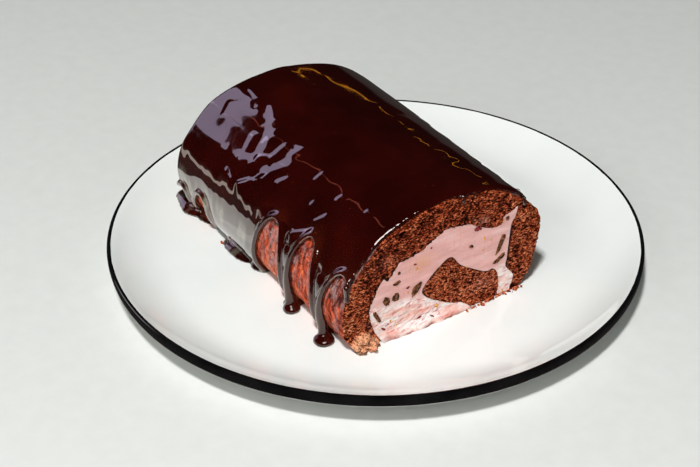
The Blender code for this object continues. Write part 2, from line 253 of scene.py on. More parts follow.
def areaLight(name, shape, place, along, size, sizeY, watts, colour):
    data = bpy.data.lights.new(name, "AREA")
    data.shape = shape
    data.size = size * mm
    if shape != "SQUARE":
        data.size_y = sizeY * mm
    data.energy = watts
    data.color = linear(colour)[:3]
    lamp = bpy.data.objects.new(name, data)
    bpy.context.scene.collection.objects.link(lamp)
    lamp.location = Vector(place) * mm
    back = (Vector(place) - Vector(studio["aim"])).normalized()
    right = Vector(along)
    right = (right - right.dot(back) * back).normalized()
    lamp.rotation_euler = Matrix((right, back.cross(right), back)).transposed().to_euler()
    lamp.visible_camera = False
    return lamp


def lightOnly(name, piece, lamps):
    group = bpy.data.collections.new(name)
    group.objects.link(piece)
    for lamp in lamps:
        bpy.data.objects[lamp].light_linking.receiver_collection = group


def buildStudio():
    scene = bpy.context.scene
    scene.view_settings.view_transform = "Standard"
    deselectAll()
    bpy.ops.mesh.primitive_plane_add(size=studio["floorSize"] * mm)
    floor = bpy.context.object
    floor.name = "studioFloor"
    paper, tree, shader, coords = newMaterial("pale background paper", {"Roughness": 0.9})
    fibre = addNode(tree, "TexNoise", {"Scale": perMm(9), "Detail": 4.0}, {"Vector": (coords, "Object")})
    tone = addNode(tree, "ValToRGB", {"ramp": [(0.3, studio["floorColour"]), (0.7, "#DCDDDA")]},
                   {"Fac": (fibre, "Fac")})
    tree.links.new(tone.outputs["Color"], shader.inputs["Base Color"])
    floor.data.materials.append(paper)
    floor.visible_glossy = False  # the studio is dark in the glaze, as it is round a photographer's table

    world = bpy.data.worlds.new("studio")
    scene.world = world
    world.use_nodes = True
    tree = world.node_tree
    tree.nodes.clear()
    rays = addNode(tree, "LightPath")
    soft = addNode(tree, "Background", {"Color": "#F3FFF6", "Strength": studio["ambient"]})
    way = addNode(tree, "TexCoord")
    parts = addNode(tree, "SeparateXYZ", {}, {0: (way, "Generated")})
    dim = addNode(tree, "MapRange", {"From Min": -0.03, "From Max": 0.05, "To Min": studio["darkTable"],
                                     "To Max": studio["darkRoom"]}, {"Value": (parts, "Z")})
    dark = addNode(tree, "Background", {"Color": "#FFF0E8"}, {"Strength": (dim, 0)})
    mix = addNode(tree, "MixShader", {}, {0: (rays, "Is Glossy Ray"), 1: (soft, 0), 2: (dark, 0)})
    addNode(tree, "OutputWorld", {}, {"Surface": (mix, 0)})

    for name, values in {**studio["lamps"], "bounce": studio["bounce"]}.items():
        lamp = areaLight(name, *values)
        lamp.visible_glossy = name not in studio["plainLamps"]
        lamp.visible_diffuse = name in studio["plainLamps"]

    data = bpy.data.cameras.new("camera")
    data.lens = studio["cameraLens"]
    data.sensor_width = 36.0
    data.clip_start = 0.05
    camera = bpy.data.objects.new("camera", data)
    scene.collection.objects.link(camera)
    camera.location = Vector(studio["cameraPlace"]) * mm
    camera.rotation_euler = Vector(studio["cameraFacing"]).to_track_quat("-Z", "Y").to_euler()
    scene.camera = camera
    print("studio ready")


buildStudio()


# ---------- the plate: a coupe plate of glazed porcelain, with its edge banded by hand in black

plate = {
    "radius": 136.8, "rimHeight": 20.0, "floorHeight": 8.0, "flatRadius": 104.0, "lipWidth": 1.8,
    "segments": 256,
    "bandInner": 134.7, "bandLow": 14.2,
    "under": [(135.6, 13.6), (133.0, 11.9), (126.0, 8.6), (118.0, 6.2), (112.0, 4.8), (103.0, 3.8),
              (94.0, 3.2), (86.0, 2.9), (83.4, 2.8), (82.6, 2.4), (82.1, 1.0), (81.7, 0.3),
              (81.0, 0.0), (77.0, 0.0), (76.3, 0.3), (75.9, 1.0), (75.4, 2.4), (74.6, 2.8),
              (60.0, 2.8), (30.0, 2.8)],
}


def plateTop(radius):
    rim = plate["radius"] - plate["lipWidth"]
    rise = np.clip((radius - plate["flatRadius"]) / (rim - plate["flatRadius"]), 0, 1)
    return plate["floorHeight"] + (plate["rimHeight"] - plate["floorHeight"]) * rise**2


def porcelain():
    # Glazed porcelain: fired white body under clear glaze, so a soft white with a sharp gloss.
    # Its edge is a band of black enamel, laid on with a brush on a turning wheel.
    made, tree, shader, coords = newMaterial("glazed porcelain", {
        "Roughness": 0.09, "IOR": 1.52, "Coat Weight": 0.4, "Coat Roughness": 0.03})
    flat = addNode(tree, "VectorMath", {"operation": "MULTIPLY", 1: (1, 1, 0)}, {0: (coords, "Object")})
    radius = addNode(tree, "VectorMath", {"operation": "LENGTH"}, {0: (flat, 0)})
    wobble = addNode(tree, "TexNoise", {"Scale": perMm(14), "Detail": 2.0}, {"Vector": (coords, "Object")})
    shake = addNode(tree, "Math", {"operation": "MULTIPLY_ADD", 1: 0.0005, 2: -0.00025},
                    {0: (wobble, "Fac")})
    reach = addNode(tree, "Math", {"operation": "ADD"}, {0: (radius, "Value"), 1: (shake, 0)})
    outer = addNode(tree, "Math", {"operation": "GREATER_THAN", 1: plate["bandInner"] * mm}, {0: (reach, 0)})
    parts = addNode(tree, "SeparateXYZ", {}, {0: (coords, "Object")})
    height = addNode(tree, "Math", {"operation": "ADD"}, {0: (parts, "Z"), 1: (shake, 0)})
    above = addNode(tree, "Math", {"operation": "GREATER_THAN", 1: plate["bandLow"] * mm}, {0: (height, 0)})
    band = addNode(tree, "Math", {"operation": "MULTIPLY"}, {0: (outer, 0), 1: (above, 0)})
    cloud = addNode(tree, "TexNoise", {"Scale": perMm(38), "Detail": 3.0}, {"Vector": (coords, "Object")})
    white = addNode(tree, "ValToRGB", {"ramp": [(0.35, "#EEF1EE"), (0.65, "#F3F5F2")]},
                    {"Fac": (cloud, "Fac")})
    black = addNode(tree, "ValToRGB", {"ramp": [(0.3, "#070708"), (0.75, "#141314")]},
                    {"Fac": (wobble, "Fac")})
    paint = addNode(tree, "Mix", {"data_type": "RGBA"}, {0: (band, 0), 6: (white, 0), 7: (black, 0)})
    tree.links.new(paint.outputs[2], shader.inputs["Base Color"])
    # glaze lies in shallow waves a few centimetres long, with a faint orange peel on top
    wave = addNode(tree, "TexNoise", {"Scale": perMm(26), "Detail": 1.0}, {"Vector": (coords, "Object")})
    peel = addNode(tree, "TexNoise", {"Scale": perMm(2.5), "Detail": 1.0}, {"Vector": (coords, "Object")})
    rough = addNode(tree, "Math", {"operation": "MULTIPLY_ADD", 1: 0.04}, {0: (peel, "Fac"), 2: (wave, "Fac")})
    bump = addNode(tree, "Bump", {"Strength": 0.12, "Distance": 0.0008}, {"Height": (rough, 0)})
    tree.links.new(bump.outputs[0], shader.inputs["Normal"])
    return made


def buildPlate():
    rim = plate["radius"] - plate["lipWidth"]
    profile = [(20.0, plate["floorHeight"]), (60.0, plate["floorHeight"])]
    for radius in np.linspace(plate["flatRadius"] - 14, rim - 0.6, 15):
        profile.append((radius, float(plateTop(radius))))
    profile += [(rim, 19.85), (rim + 0.7, 19.95), (rim + 1.2, 19.75), (rim + 1.6, 19.2), (rim + 1.8, 18.4),
                (rim + 1.75, 17.2), (rim + 1.55, 15.8), (rim + 1.25, 14.8)] + plate["under"]
    deselectAll()
    bpy.ops.mesh.primitive_circle_add(vertices=plate["segments"], radius=profile[0][0] * mm,
                                      fill_type="NGON", location=(0, 0, profile[0][1] * mm))
    made = bpy.context.object
    made.name = "dinnerPlate"
    bpy.ops.object.transform_apply(location=True)
    bpy.ops.object.mode_set(mode="EDIT")
    bpy.ops.mesh.select_mode(type="EDGE")
    bpy.ops.mesh.select_all(action="SELECT")
    bpy.ops.mesh.region_to_loop()
    for (wasRadius, wasHeight), (radius, height) in zip(profile, profile[1:]):
        bpy.ops.mesh.extrude_edges_move()
        share = radius / wasRadius
        bpy.ops.transform.resize(value=(share, share, 1.0), center_override=(0, 0, 0))
        bpy.ops.transform.translate(value=(0, 0, (height - wasHeight) * mm))
    bpy.ops.mesh.edge_face_add()
    bpy.ops.mesh.select_all(action="SELECT")
    bpy.ops.mesh.normals_make_consistent(inside=False)
    bpy.ops.object.mode_set(mode="OBJECT")
    made.data.materials.append(porcelain())
    finishPiece(made, ["plate"], 40)
    lightOnly("plateLight", made, ["bounce"])


buildPlate()


# ---------- the roll's section, drawn as (across, up) on the cut face

roll = {
    "frontX": 68.2, "middleY": -6.8, "rearX": -85.8, "rearLeanAcross": 0.084, "rearLeanUp": -0.044,
    "wrapOutside": [(-49.5, 0), (-55.8, 9.5), (-57.2, 20), (-54.5, 33), (-47.8, 43), (-36, 55), (-19, 62.3),
                    (0, 65.6), (17.2, 63.6)],
    "lidOutside": [(17.2, 63.6), (27, 62.5), (38, 58), (46.5, 52), (49, 49.8)],
    "sideOutside": [(49, 49.8), (55.2, 43.5), (58.3, 35), (57, 22), (53, 8), (46.5, 0)],
    "leftSeam": [(17.2, 63.6), (14.5, 57.5), (11.6, 48.7)],
    "rightSeam": [(43.6, 48.6), (46.5, 49.6), (49, 49.8)],
    "wrapInside": [(-35.2, 0), (-39.3, 7.7), (-42, 19.5), (-39, 27.3), (-34.7, 35), (-31.5, 33.6), (-25, 41),
                   (-14.7, 42.9), (-6.6, 46.8), (2, 50.3), (11.6, 48.7)],
    "lidInside": [(11.6, 48.7), (15.5, 48.2), (19.5, 45.5), (28, 41.5), (34.4, 42), (35.6, 45.4),
                  (43.6, 48.6)],
    "sideInside": [(43.6, 48.6), (42.3, 43.5), (40, 38.5), (38.6, 21), (38.2, 15.5), (43.3, 8.2), (40.4, 0)],
    "coreOutside": [(17.3, 0), (12, 4), (3, 7.4), (-9.8, 16), (-10.8, 22.5), (3, 33.6), (11, 26.3),
                    (25, 17.6), (30, 17.2), (33, 13.8), (34.2, 7), (33.4, 0)],
    "spacing": 0.44,
    "ringStep": 6.0,
    "nearRings": [0.0, 0.5, 1.2, 2.4, 4.5],
}
line = {name: smoothLine(roll[name], roll["spacing"]) for name in roll if isinstance(roll[name], list)
        and isinstance(roll[name][0], tuple)}
rollOutside = joinLines(line["wrapOutside"], line["lidOutside"], line["sideOutside"])

# Arched places where the glaze parted: middle along X, half width, height, lean of the top.
leftArches = [(-89, 6, 14, 3), (-68, 7.5, 19, 3), (2.2, 12.2, 39.5, 1), (34.2, 10.8, 43.5, -2.5),
              (62, 11, 40.5, 0.5)]
rightArches = [(-73, 9, 33, 0), (-43, 8, 24, 2), (-13, 12, 38, -2), (20, 9, 29, 1), (60, 14.5, 48, 0)]


def rearPlane(across, up):
    return roll["rearX"] + roll["rearLeanAcross"] * across + roll["rearLeanUp"] * up


def archLine(arch, steps=90):
    middle, half, height, lean = arch
    angle = np.linspace(0, math.pi, steps)
    across = np.sign(np.cos(angle)) * np.abs(np.cos(angle)) ** 0.8
    rise = np.abs(np.sin(angle)) ** 0.72
    points = np.stack([middle - half * across * (1 - 0.12 * rise**2) + lean * rise, height * rise], 1)
    points[0, 1] = points[-1, 1] = -8.0
    return points


class Table:
    # a value worked out once on a fine grid, and then read between its points
    def __init__(self, low, high, step, work):
        self.low, self.step = np.array(low, float), step
        self.shape = [int((h - l) / step) + 2 for l, h in zip(low, high)]
        grid = np.stack(np.meshgrid(*[np.arange(n) * step + l for n, l in zip(self.shape, low)],
                                    indexing="ij"), -1)
        self.values = work(grid.reshape(-1, 2)).reshape(self.shape)

    def read(self, u, v):
        x = np.clip((u - self.low[0]) / self.step, 0, self.shape[0] - 1.001)
        y = np.clip((v - self.low[1]) / self.step, 0, self.shape[1] - 1.001)
        i, j = x.astype(int), y.astype(int)
        x, y = x - i, y - j
        grid = self.values
        return ((grid[i, j] * (1 - x) + grid[i + 1, j] * x) * (1 - y)
                + (grid[i, j + 1] * (1 - x) + grid[i + 1, j + 1] * x) * y)


def archDistance(arches):
    def work(points):
        best = np.full(len(points), 1e9)
        for arch in arches:
            far, side, along = lineDistance(points, archLine(arch), closed=True)
            best = np.minimum(best, far * side)
        return best
    return Table((-112, -8), (78, 60), 0.4, work)


openings = {-1: archDistance(leftArches), 1: archDistance(rightArches)}
print("section and arches drawn")


def insideOutline(points, outline):
    inside = np.zeros(len(points), bool)
    for (x0, y0), (x1, y1) in zip(outline, np.roll(outline, -1, 0)):
        crosses = (y0 > points[:, 1]) != (y1 > points[:, 1])
        with np.errstate(divide="ignore", invalid="ignore"):
            where = (x1 - x0) * (points[:, 1] - y0) / (y1 - y0) + x0
        inside ^= crosses & (points[:, 0] < where)
    return inside


def cutBody(name, outline, materials):
    # a length of the outline, with its two cut faces filled by small triangles and coarse rings between
    rng = np.random.default_rng(len(name))
    step = roll["spacing"]
    low, high = outline.min(0), outline.max(0)
    rows = np.arange(low[1], high[1], step * 0.87)
    spots = []
    for i, v in enumerate(rows):
        cols = np.arange(low[0] + (i % 2) * step / 2, high[0], step)
        spots.append(np.stack([cols, np.full(len(cols), v)], 1))
    spots = np.vstack(spots) + rng.uniform(-0.12, 0.12, (sum(len(s) for s in spots), 2)) * step
    spots = spots[insideOutline(spots, outline)]
    spots = spots[lineDistance(spots, outline, closed=True)[0] > step * 0.55]
    count = len(outline)
    everyPoint = [Vector(p) for p in np.vstack([outline, spots])]
    filled = geometry.delaunay_2d_cdt(everyPoint, [], [list(range(count))], 1, 1e-5, True)
    back = {i: origin[0] for i, origin in enumerate(filled[3]) if origin}
    triangles = np.array([[back[i] for i in face] for face in filled[2] if all(i in back for i in face)])
    centres = np.vstack([outline, spots])[triangles].mean(1)
    triangles = triangles[insideOutline(centres, outline)]

    length = roll["frontX"] - roll["rearX"]
    shares = [d / length for d in roll["nearRings"]]
    middle = np.linspace(shares[-1], 1 - shares[-1], int(length / roll["ringStep"]))[1:-1]
    shares = shares + list(middle) + [1 - s for s in reversed(shares)]
    frontX = roll["frontX"]

    def place(points, share):  # share 0 is the front cut
        rear = rearPlane(points[:, 0], points[:, 1])
        x = frontX + share * (rear - frontX)
        return np.stack([x, roll["middleY"] + points[:, 0], plate["floorHeight"] + points[:, 1]], 1)

    rings = [place(outline, share) for share in shares]
    verts = np.vstack(rings + [place(spots, 0.0), place(spots, 1.0)])
    last = (len(shares) - 1) * count
    faces = []
    for ring in range(len(shares) - 1):
        for i in range(count):
            j = (i + 1) % count
            a, b = ring * count, (ring + 1) * count
            faces.append((a + i, b + i, b + j, a + j))
    frontStart = len(shares) * count
    rearStart = frontStart + len(spots)
    for tri in triangles:
        faces.append([i if i < count else frontStart + i - count for i in tri])
        faces.append([last + i if i < count else rearStart + i - count for i in tri][::-1])
    piece = meshPiece(name, verts * mm, faces, materials)
    pairs = np.zeros(len(piece.data.edges) * 2, int)
    piece.data.edges.foreach_get("vertices", pairs)
    pairs = pairs.reshape(-1, 2)
    rim = (pairs < count).all(1) | ((pairs >= last) & (pairs < last + count)).all(1)
    piece.data.edges.foreach_set("use_edge_sharp", rim)  # the knife left a crisp edge
    cut = np.zeros(len(verts))
    cut[:count] = 1
    cut[frontStart:rearStart] = 1
    cut[last:last + count] = -1
    cut[rearStart:] = -1
    writeMark(piece, "cut", cut)
    makeActive(piece)
    bpy.ops.object.mode_set(mode="EDIT")
    bpy.ops.mesh.select_all(action="SELECT")
    bpy.ops.mesh.normals_make_consistent(inside=False)
    bpy.ops.object.mode_set(mode="OBJECT")
    return piece


def splitWindows(piece):
    # finer rings where the skin shows between the runs of glaze
    makeActive(piece)
    bpy.ops.object.mode_set(mode="EDIT")
    bpy.ops.mesh.select_mode(type="EDGE")
    bpy.ops.mesh.select_all(action="DESELECT")
    bpy.ops.object.mode_set(mode="OBJECT")
    points = readPoints(piece)
    pairs = np.zeros(len(piece.data.edges) * 2, int)
    piece.data.edges.foreach_get("vertices", pairs)
    ends = points[pairs.reshape(-1, 2)]
    middle = ends.mean(1)
    across, up = middle[:, 1] - roll["middleY"], middle[:, 2] - plate["floorHeight"]
    lengthwise = np.abs(ends[:, 0, 0] - ends[:, 1, 0]) > 3.0
    outer = lineDistance(np.stack([across, up], 1), rollOutside)[0] < 0.5
    reach = np.where(across < 0, openings[-1].read(middle[:, 0], up), openings[1].read(middle[:, 0], up))
    chosen = lengthwise & outer & (np.abs(across) > 38) & (reach < 5.0)
    piece.data.edges.foreach_set("select", chosen)
    bpy.ops.object.mode_set(mode="EDIT")
    bpy.ops.mesh.subdivide(number_cuts=9, ngon=False)
    bpy.ops.object.mode_set(mode="OBJECT")


# ---------- the sponge: whisked chocolate sheet sponge, sawn through with a warm knife

crumb = {
    "tear": -13,                # degrees that the knife dragged the crumb, on the cut face
    "largePores": 0.13,         # pores per square millimetre
    "smallPores": 0.75,
    "craters": [(-24.1, 57.0, 2.2, 1.3, 1.8), (-13.0, 59.0, 2.4, 0.8, 1.4), (-41.5, 38.5, 1.2, 0.8, 1.0)],
    "windowTones": [(-60, -0.01), (30, -0.02), (48, -0.04), (60, -0.09)],  # X, how light the bared skin is
    "frost": [(2, 9, 0.07), (62, 7, 0.045), (-43, 9, 0.04)],
    "smears": [(23.0, 47.8, 2.2, 1.8, 0.85), (17.5, 49.6, 1.2, 1.0, 0.5), (24, 11, 7, 4, 0.3), (-40.5, 12.5, 3, 6, 0.3),
               (-33, 44.5, 5, 3, 0.15)],
    "toes": {"iceCream": 3.0, "spongeCore": 1.6, "spongeSide": 0.8},
    "toeHeight": 5.0, "toeMiddle": -10.0, "toeReach": 50.0,
    # fallen crumbs: across, spread, how many, biggest; and strewn ones: x, y, spread, how many
    "fallen": [(-44, 4, 10, 0.8), (19, 4, 12, 0.6), (30, 5, 26, 0.9), (39, 3, 20, 0.9), (46, 1.5, 12, 0.9)],
    "strewn": [(-92, -58, 2.5, 14), (-46, -62.5, 1.5, 5)],
    # the squashed foot of the outer sponge: across, X past the cut, half sizes along X, across, up
    "footCrumbs": [(-46.5, 0.5, 5, 5.5, 6), (-41.5, 1.6, 3.4, 3.8, 3), (-50, 0, 3, 3.5, 4)],
}


def poreField(points, rng, density, longSize, deep):
    # bowls torn open along the knife's way; gives their depth and a mask, 1 at the bottom, for the shade painted into
    # them
    low, high = points.min(0), points.max(0)
    count = int(np.prod(high - low) * density)
    centres = rng.uniform(low, high, (count, 2))
    order = np.argsort(points[:, 0])
    sortedX = points[order, 0]
    depth = np.zeros(len(points))
    mask = np.zeros(len(points))
    for centre in centres:
        half = longSize * rng.lognormal(0, 0.35)
        thin = half * rng.uniform(0.32, 0.62)
        turn = math.radians(crumb["tear"] + rng.normal(0, 14))
        first, last = np.searchsorted(sortedX, [centre[0] - 1.6 * half, centre[0] + 1.6 * half])
        near = order[first:last]
        offset = points[near] - centre
        along = offset[:, 0] * math.cos(turn) + offset[:, 1] * math.sin(turn)
        aside = -offset[:, 0] * math.sin(turn) + offset[:, 1] * math.cos(turn)
        ring = np.hypot(along / half, aside / thin)
        bowl = np.clip(1 - ring**2, 0, 1)
        lip = 0.22 * np.exp(-((ring - 1.15) / 0.22) ** 2)
        size = deep * rng.uniform(0.5, 1.2)
        depth[near] = np.where(bowl * size > depth[near], bowl * size, depth[near] - lip * size * 0.6)
        mask[near] = np.maximum(mask[near], np.clip(bowl * 2.2, 0, 1) * min(1.0, size / deep + 0.1))
    return depth, mask


def toe(name, y, z):
    # how far the softened foot of a piece has spread over the plate
    spread = crumb["toes"].get(name)
    if not spread:
        return 0.0 * z
    low = np.clip((plate["floorHeight"] + crumb["toeHeight"] - z) / crumb["toeHeight"], 0, 1)
    aside = (y - roll["middleY"] - crumb["toeMiddle"]) / crumb["toeReach"]
    return spread * np.maximum(0.2, 1 - aside**2) * low**1.5


def shapeCrumb(piece, seed, toneAt):
    rng = np.random.default_rng(seed)
    points = readPoints(piece)
    cut = np.zeros(len(points), np.float32)
    piece.data.attributes["cut"].data.foreach_get("value", cut)
    section = np.stack([points[:, 1] - roll["middleY"], points[:, 2] - plate["floorHeight"]], 1)
    pit = np.zeros(len(points))
    lift = np.zeros(len(points))
    for sign in (1, -1):
        chosen = np.abs(cut - sign) < 0.01
        face = section[chosen]
        bigDepth, bigMask = poreField(face, rng, crumb["largePores"], 0.95, 1.25)
        fineDepth, fineMask = poreField(face, rng, crumb["smallPores"], 0.55, 0.7)
        relief = 0.25 - bigDepth - fineDepth
        turn = math.radians(crumb["tear"])
        spun = np.stack([face[:, 0] * math.cos(turn) + face[:, 1] * math.sin(turn),
                         -face[:, 0] * math.sin(turn) + face[:, 1] * math.cos(turn)], 1)
        relief += 0.45 * np.abs(grain(spun, (2.4, 0.9), seed + sign)) - 0.2
        relief += 0.30 * grain(spun, (1.3, 0.6), seed + 7) + 0.35 * grain(face, (7, 5), seed + 3)
        mask = np.maximum(bigMask, fineMask * 0.85)
        if sign == 1:
            # the craters get painted shade in their hollows too
            for across, up, long, high, deep in crumb["craters"]:
                ring = np.hypot((face[:, 0] - across) / long, (face[:, 1] - up) / high)
                relief -= deep * np.clip(1 - ring**2, 0, 1)
                mask = np.maximum(mask, np.clip(1.6 - 1.6 * ring**2, 0, 1))
            for across, past, deep, wide, high in crumb["footCrumbs"]:
                if piece.name != "spongeWrap":
                    break
                ring = np.hypot((face[:, 0] - across) / wide, (face[:, 1] - high * 0.62) / high)
                bulge = past + deep * np.sqrt(np.clip(1 - ring**2, 0, 1))
                lumps = 1 + 0.3 * grain(face, (2.4, 2.0), seed + 11) + 0.15 * grain(face, (1, 1), seed + 12)
                relief = np.where(ring < 1, np.maximum(relief, relief * 0.8 + bulge * lumps * 0.85), relief)
        points[chosen, 0] += sign * relief
        if sign == 1:
            points[chosen, 0] += toe(piece.name, points[chosen, 1], points[chosen, 2])
        pit[chosen] = mask
        lift[chosen] = relief
    # skin that shows between the runs, and crumbly edges
    outline = rollOutside
    normals = outwardNormals(np.vstack([outline, [[0, -30]]]))[:-1]
    far, side, along = lineDistance(section, outline)
    nearest = np.clip((along / roll["spacing"]).astype(int), 0, len(outline) - 1)
    outer = (far < 0.4) & (np.abs(section[:, 0]) > 36)
    skinPoints = points[outer]
    craggy = 0.5 * grain(skinPoints, (5, 5, 3.5), seed) + 0.22 * grain(skinPoints, (1.7, 1.9, 1.3), seed + 5)
    craggy += 0.12 * grain(skinPoints, (0.8, 0.8, 0.6), seed + 6)
    splits = np.clip(grain(skinPoints, (2.6, 2.6, 1.5), seed + 9) - 0.34, 0, 1) * 3.0
    cracks = np.clip(0.03 - np.abs(grain(skinPoints, (6, 6, 9), seed + 21)), 0, 1) * 33
    splits = np.maximum(splits, cracks * np.clip(grain(skinPoints, (5, 5, 5), seed + 22) * 3, 0, 1))
    craggy -= 0.9 * splits
    out = normals[nearest[outer]]
    settle = np.clip(section[outer, 1] / 2.0, 0, 1)  # stays on the plate at its foot
    points[outer, 1] += out[:, 0] * craggy
    points[outer, 2] += out[:, 1] * craggy * settle
    # the splits in the skin get painted shade through the same mark
    pit[outer] = np.maximum(pit[outer] * 0.6, np.clip(splits * 1.4, 0, 1))
    skin = np.zeros(len(points))
    skin[outer & (np.abs(cut) < 0.5)] = 1.0
    frost = np.zeros(len(points))  # frost settled more in some of the windows
    for middle, wide, much in crumb["frost"]:
        frost = np.maximum(frost, much * np.exp(-((points[:, 0] - middle) / wide) ** 2))
    writeMark(piece, "frost", frost)
    points[:, 2] = np.maximum(points[:, 2], plateTop(np.hypot(points[:, 0], points[:, 1])) - 0.05)
    writePoints(piece, points)
    writeMark(piece, "pit", pit)
    writeMark(piece, "lift", lift)
    writeMark(piece, "skin", skin)
    # dark sheet skin along the filling and the seams, and paler zones
    def near(name, width, lowUp=-10, highUp=100):
        gap = lineDistance(section, line[name])[0]
        fade = np.clip((section[:, 1] - lowUp) / 3, 0, 1) * np.clip((highUp - section[:, 1]) / 3, 0, 1)
        ragged = width * (1 + 0.9 * grain(section, (3, 3), seed + len(name)))
        return np.clip(1.5 - 1.5 * gap / np.maximum(ragged, 0.1), 0, 1) * fade
    seam = np.maximum.reduce([near("wrapInside", 1.4, 16), near("leftSeam", 0.9), near("sideInside", 1.7, 13, 40),
                              near("lidInside", 0.7) * 0.6, near("coreOutside", 0.9, 12) * 0.8])
    groove = np.maximum(near("leftSeam", 0.9), near("rightSeam", 0.6))
    front = cut > 0.5
    points[front, 0] -= 0.8 * groove[front]
    writePoints(piece, points)
    writeMark(piece, "seam", np.maximum(seam, groove))
    windowTone = np.interp(points[:, 0], *zip(*crumb["windowTones"]))
    writeMark(piece, "tone", np.where(skin > 0, windowTone, toneAt(section)))
    # where ice cream or syrup was dragged over the crumb
    smear = np.zeros(len(points))
    for across, up, wide, high, much in crumb["smears"]:
        ring = ((section[:, 0] - across) / wide) ** 2 + ((section[:, 1] - up) / high) ** 2
        smear = np.maximum(smear, much * np.exp(-ring) * np.clip(0.9 + grain(section, (2.2, 1.2), across), 0, 1))
    writeMark(piece, "smear", smear * front)


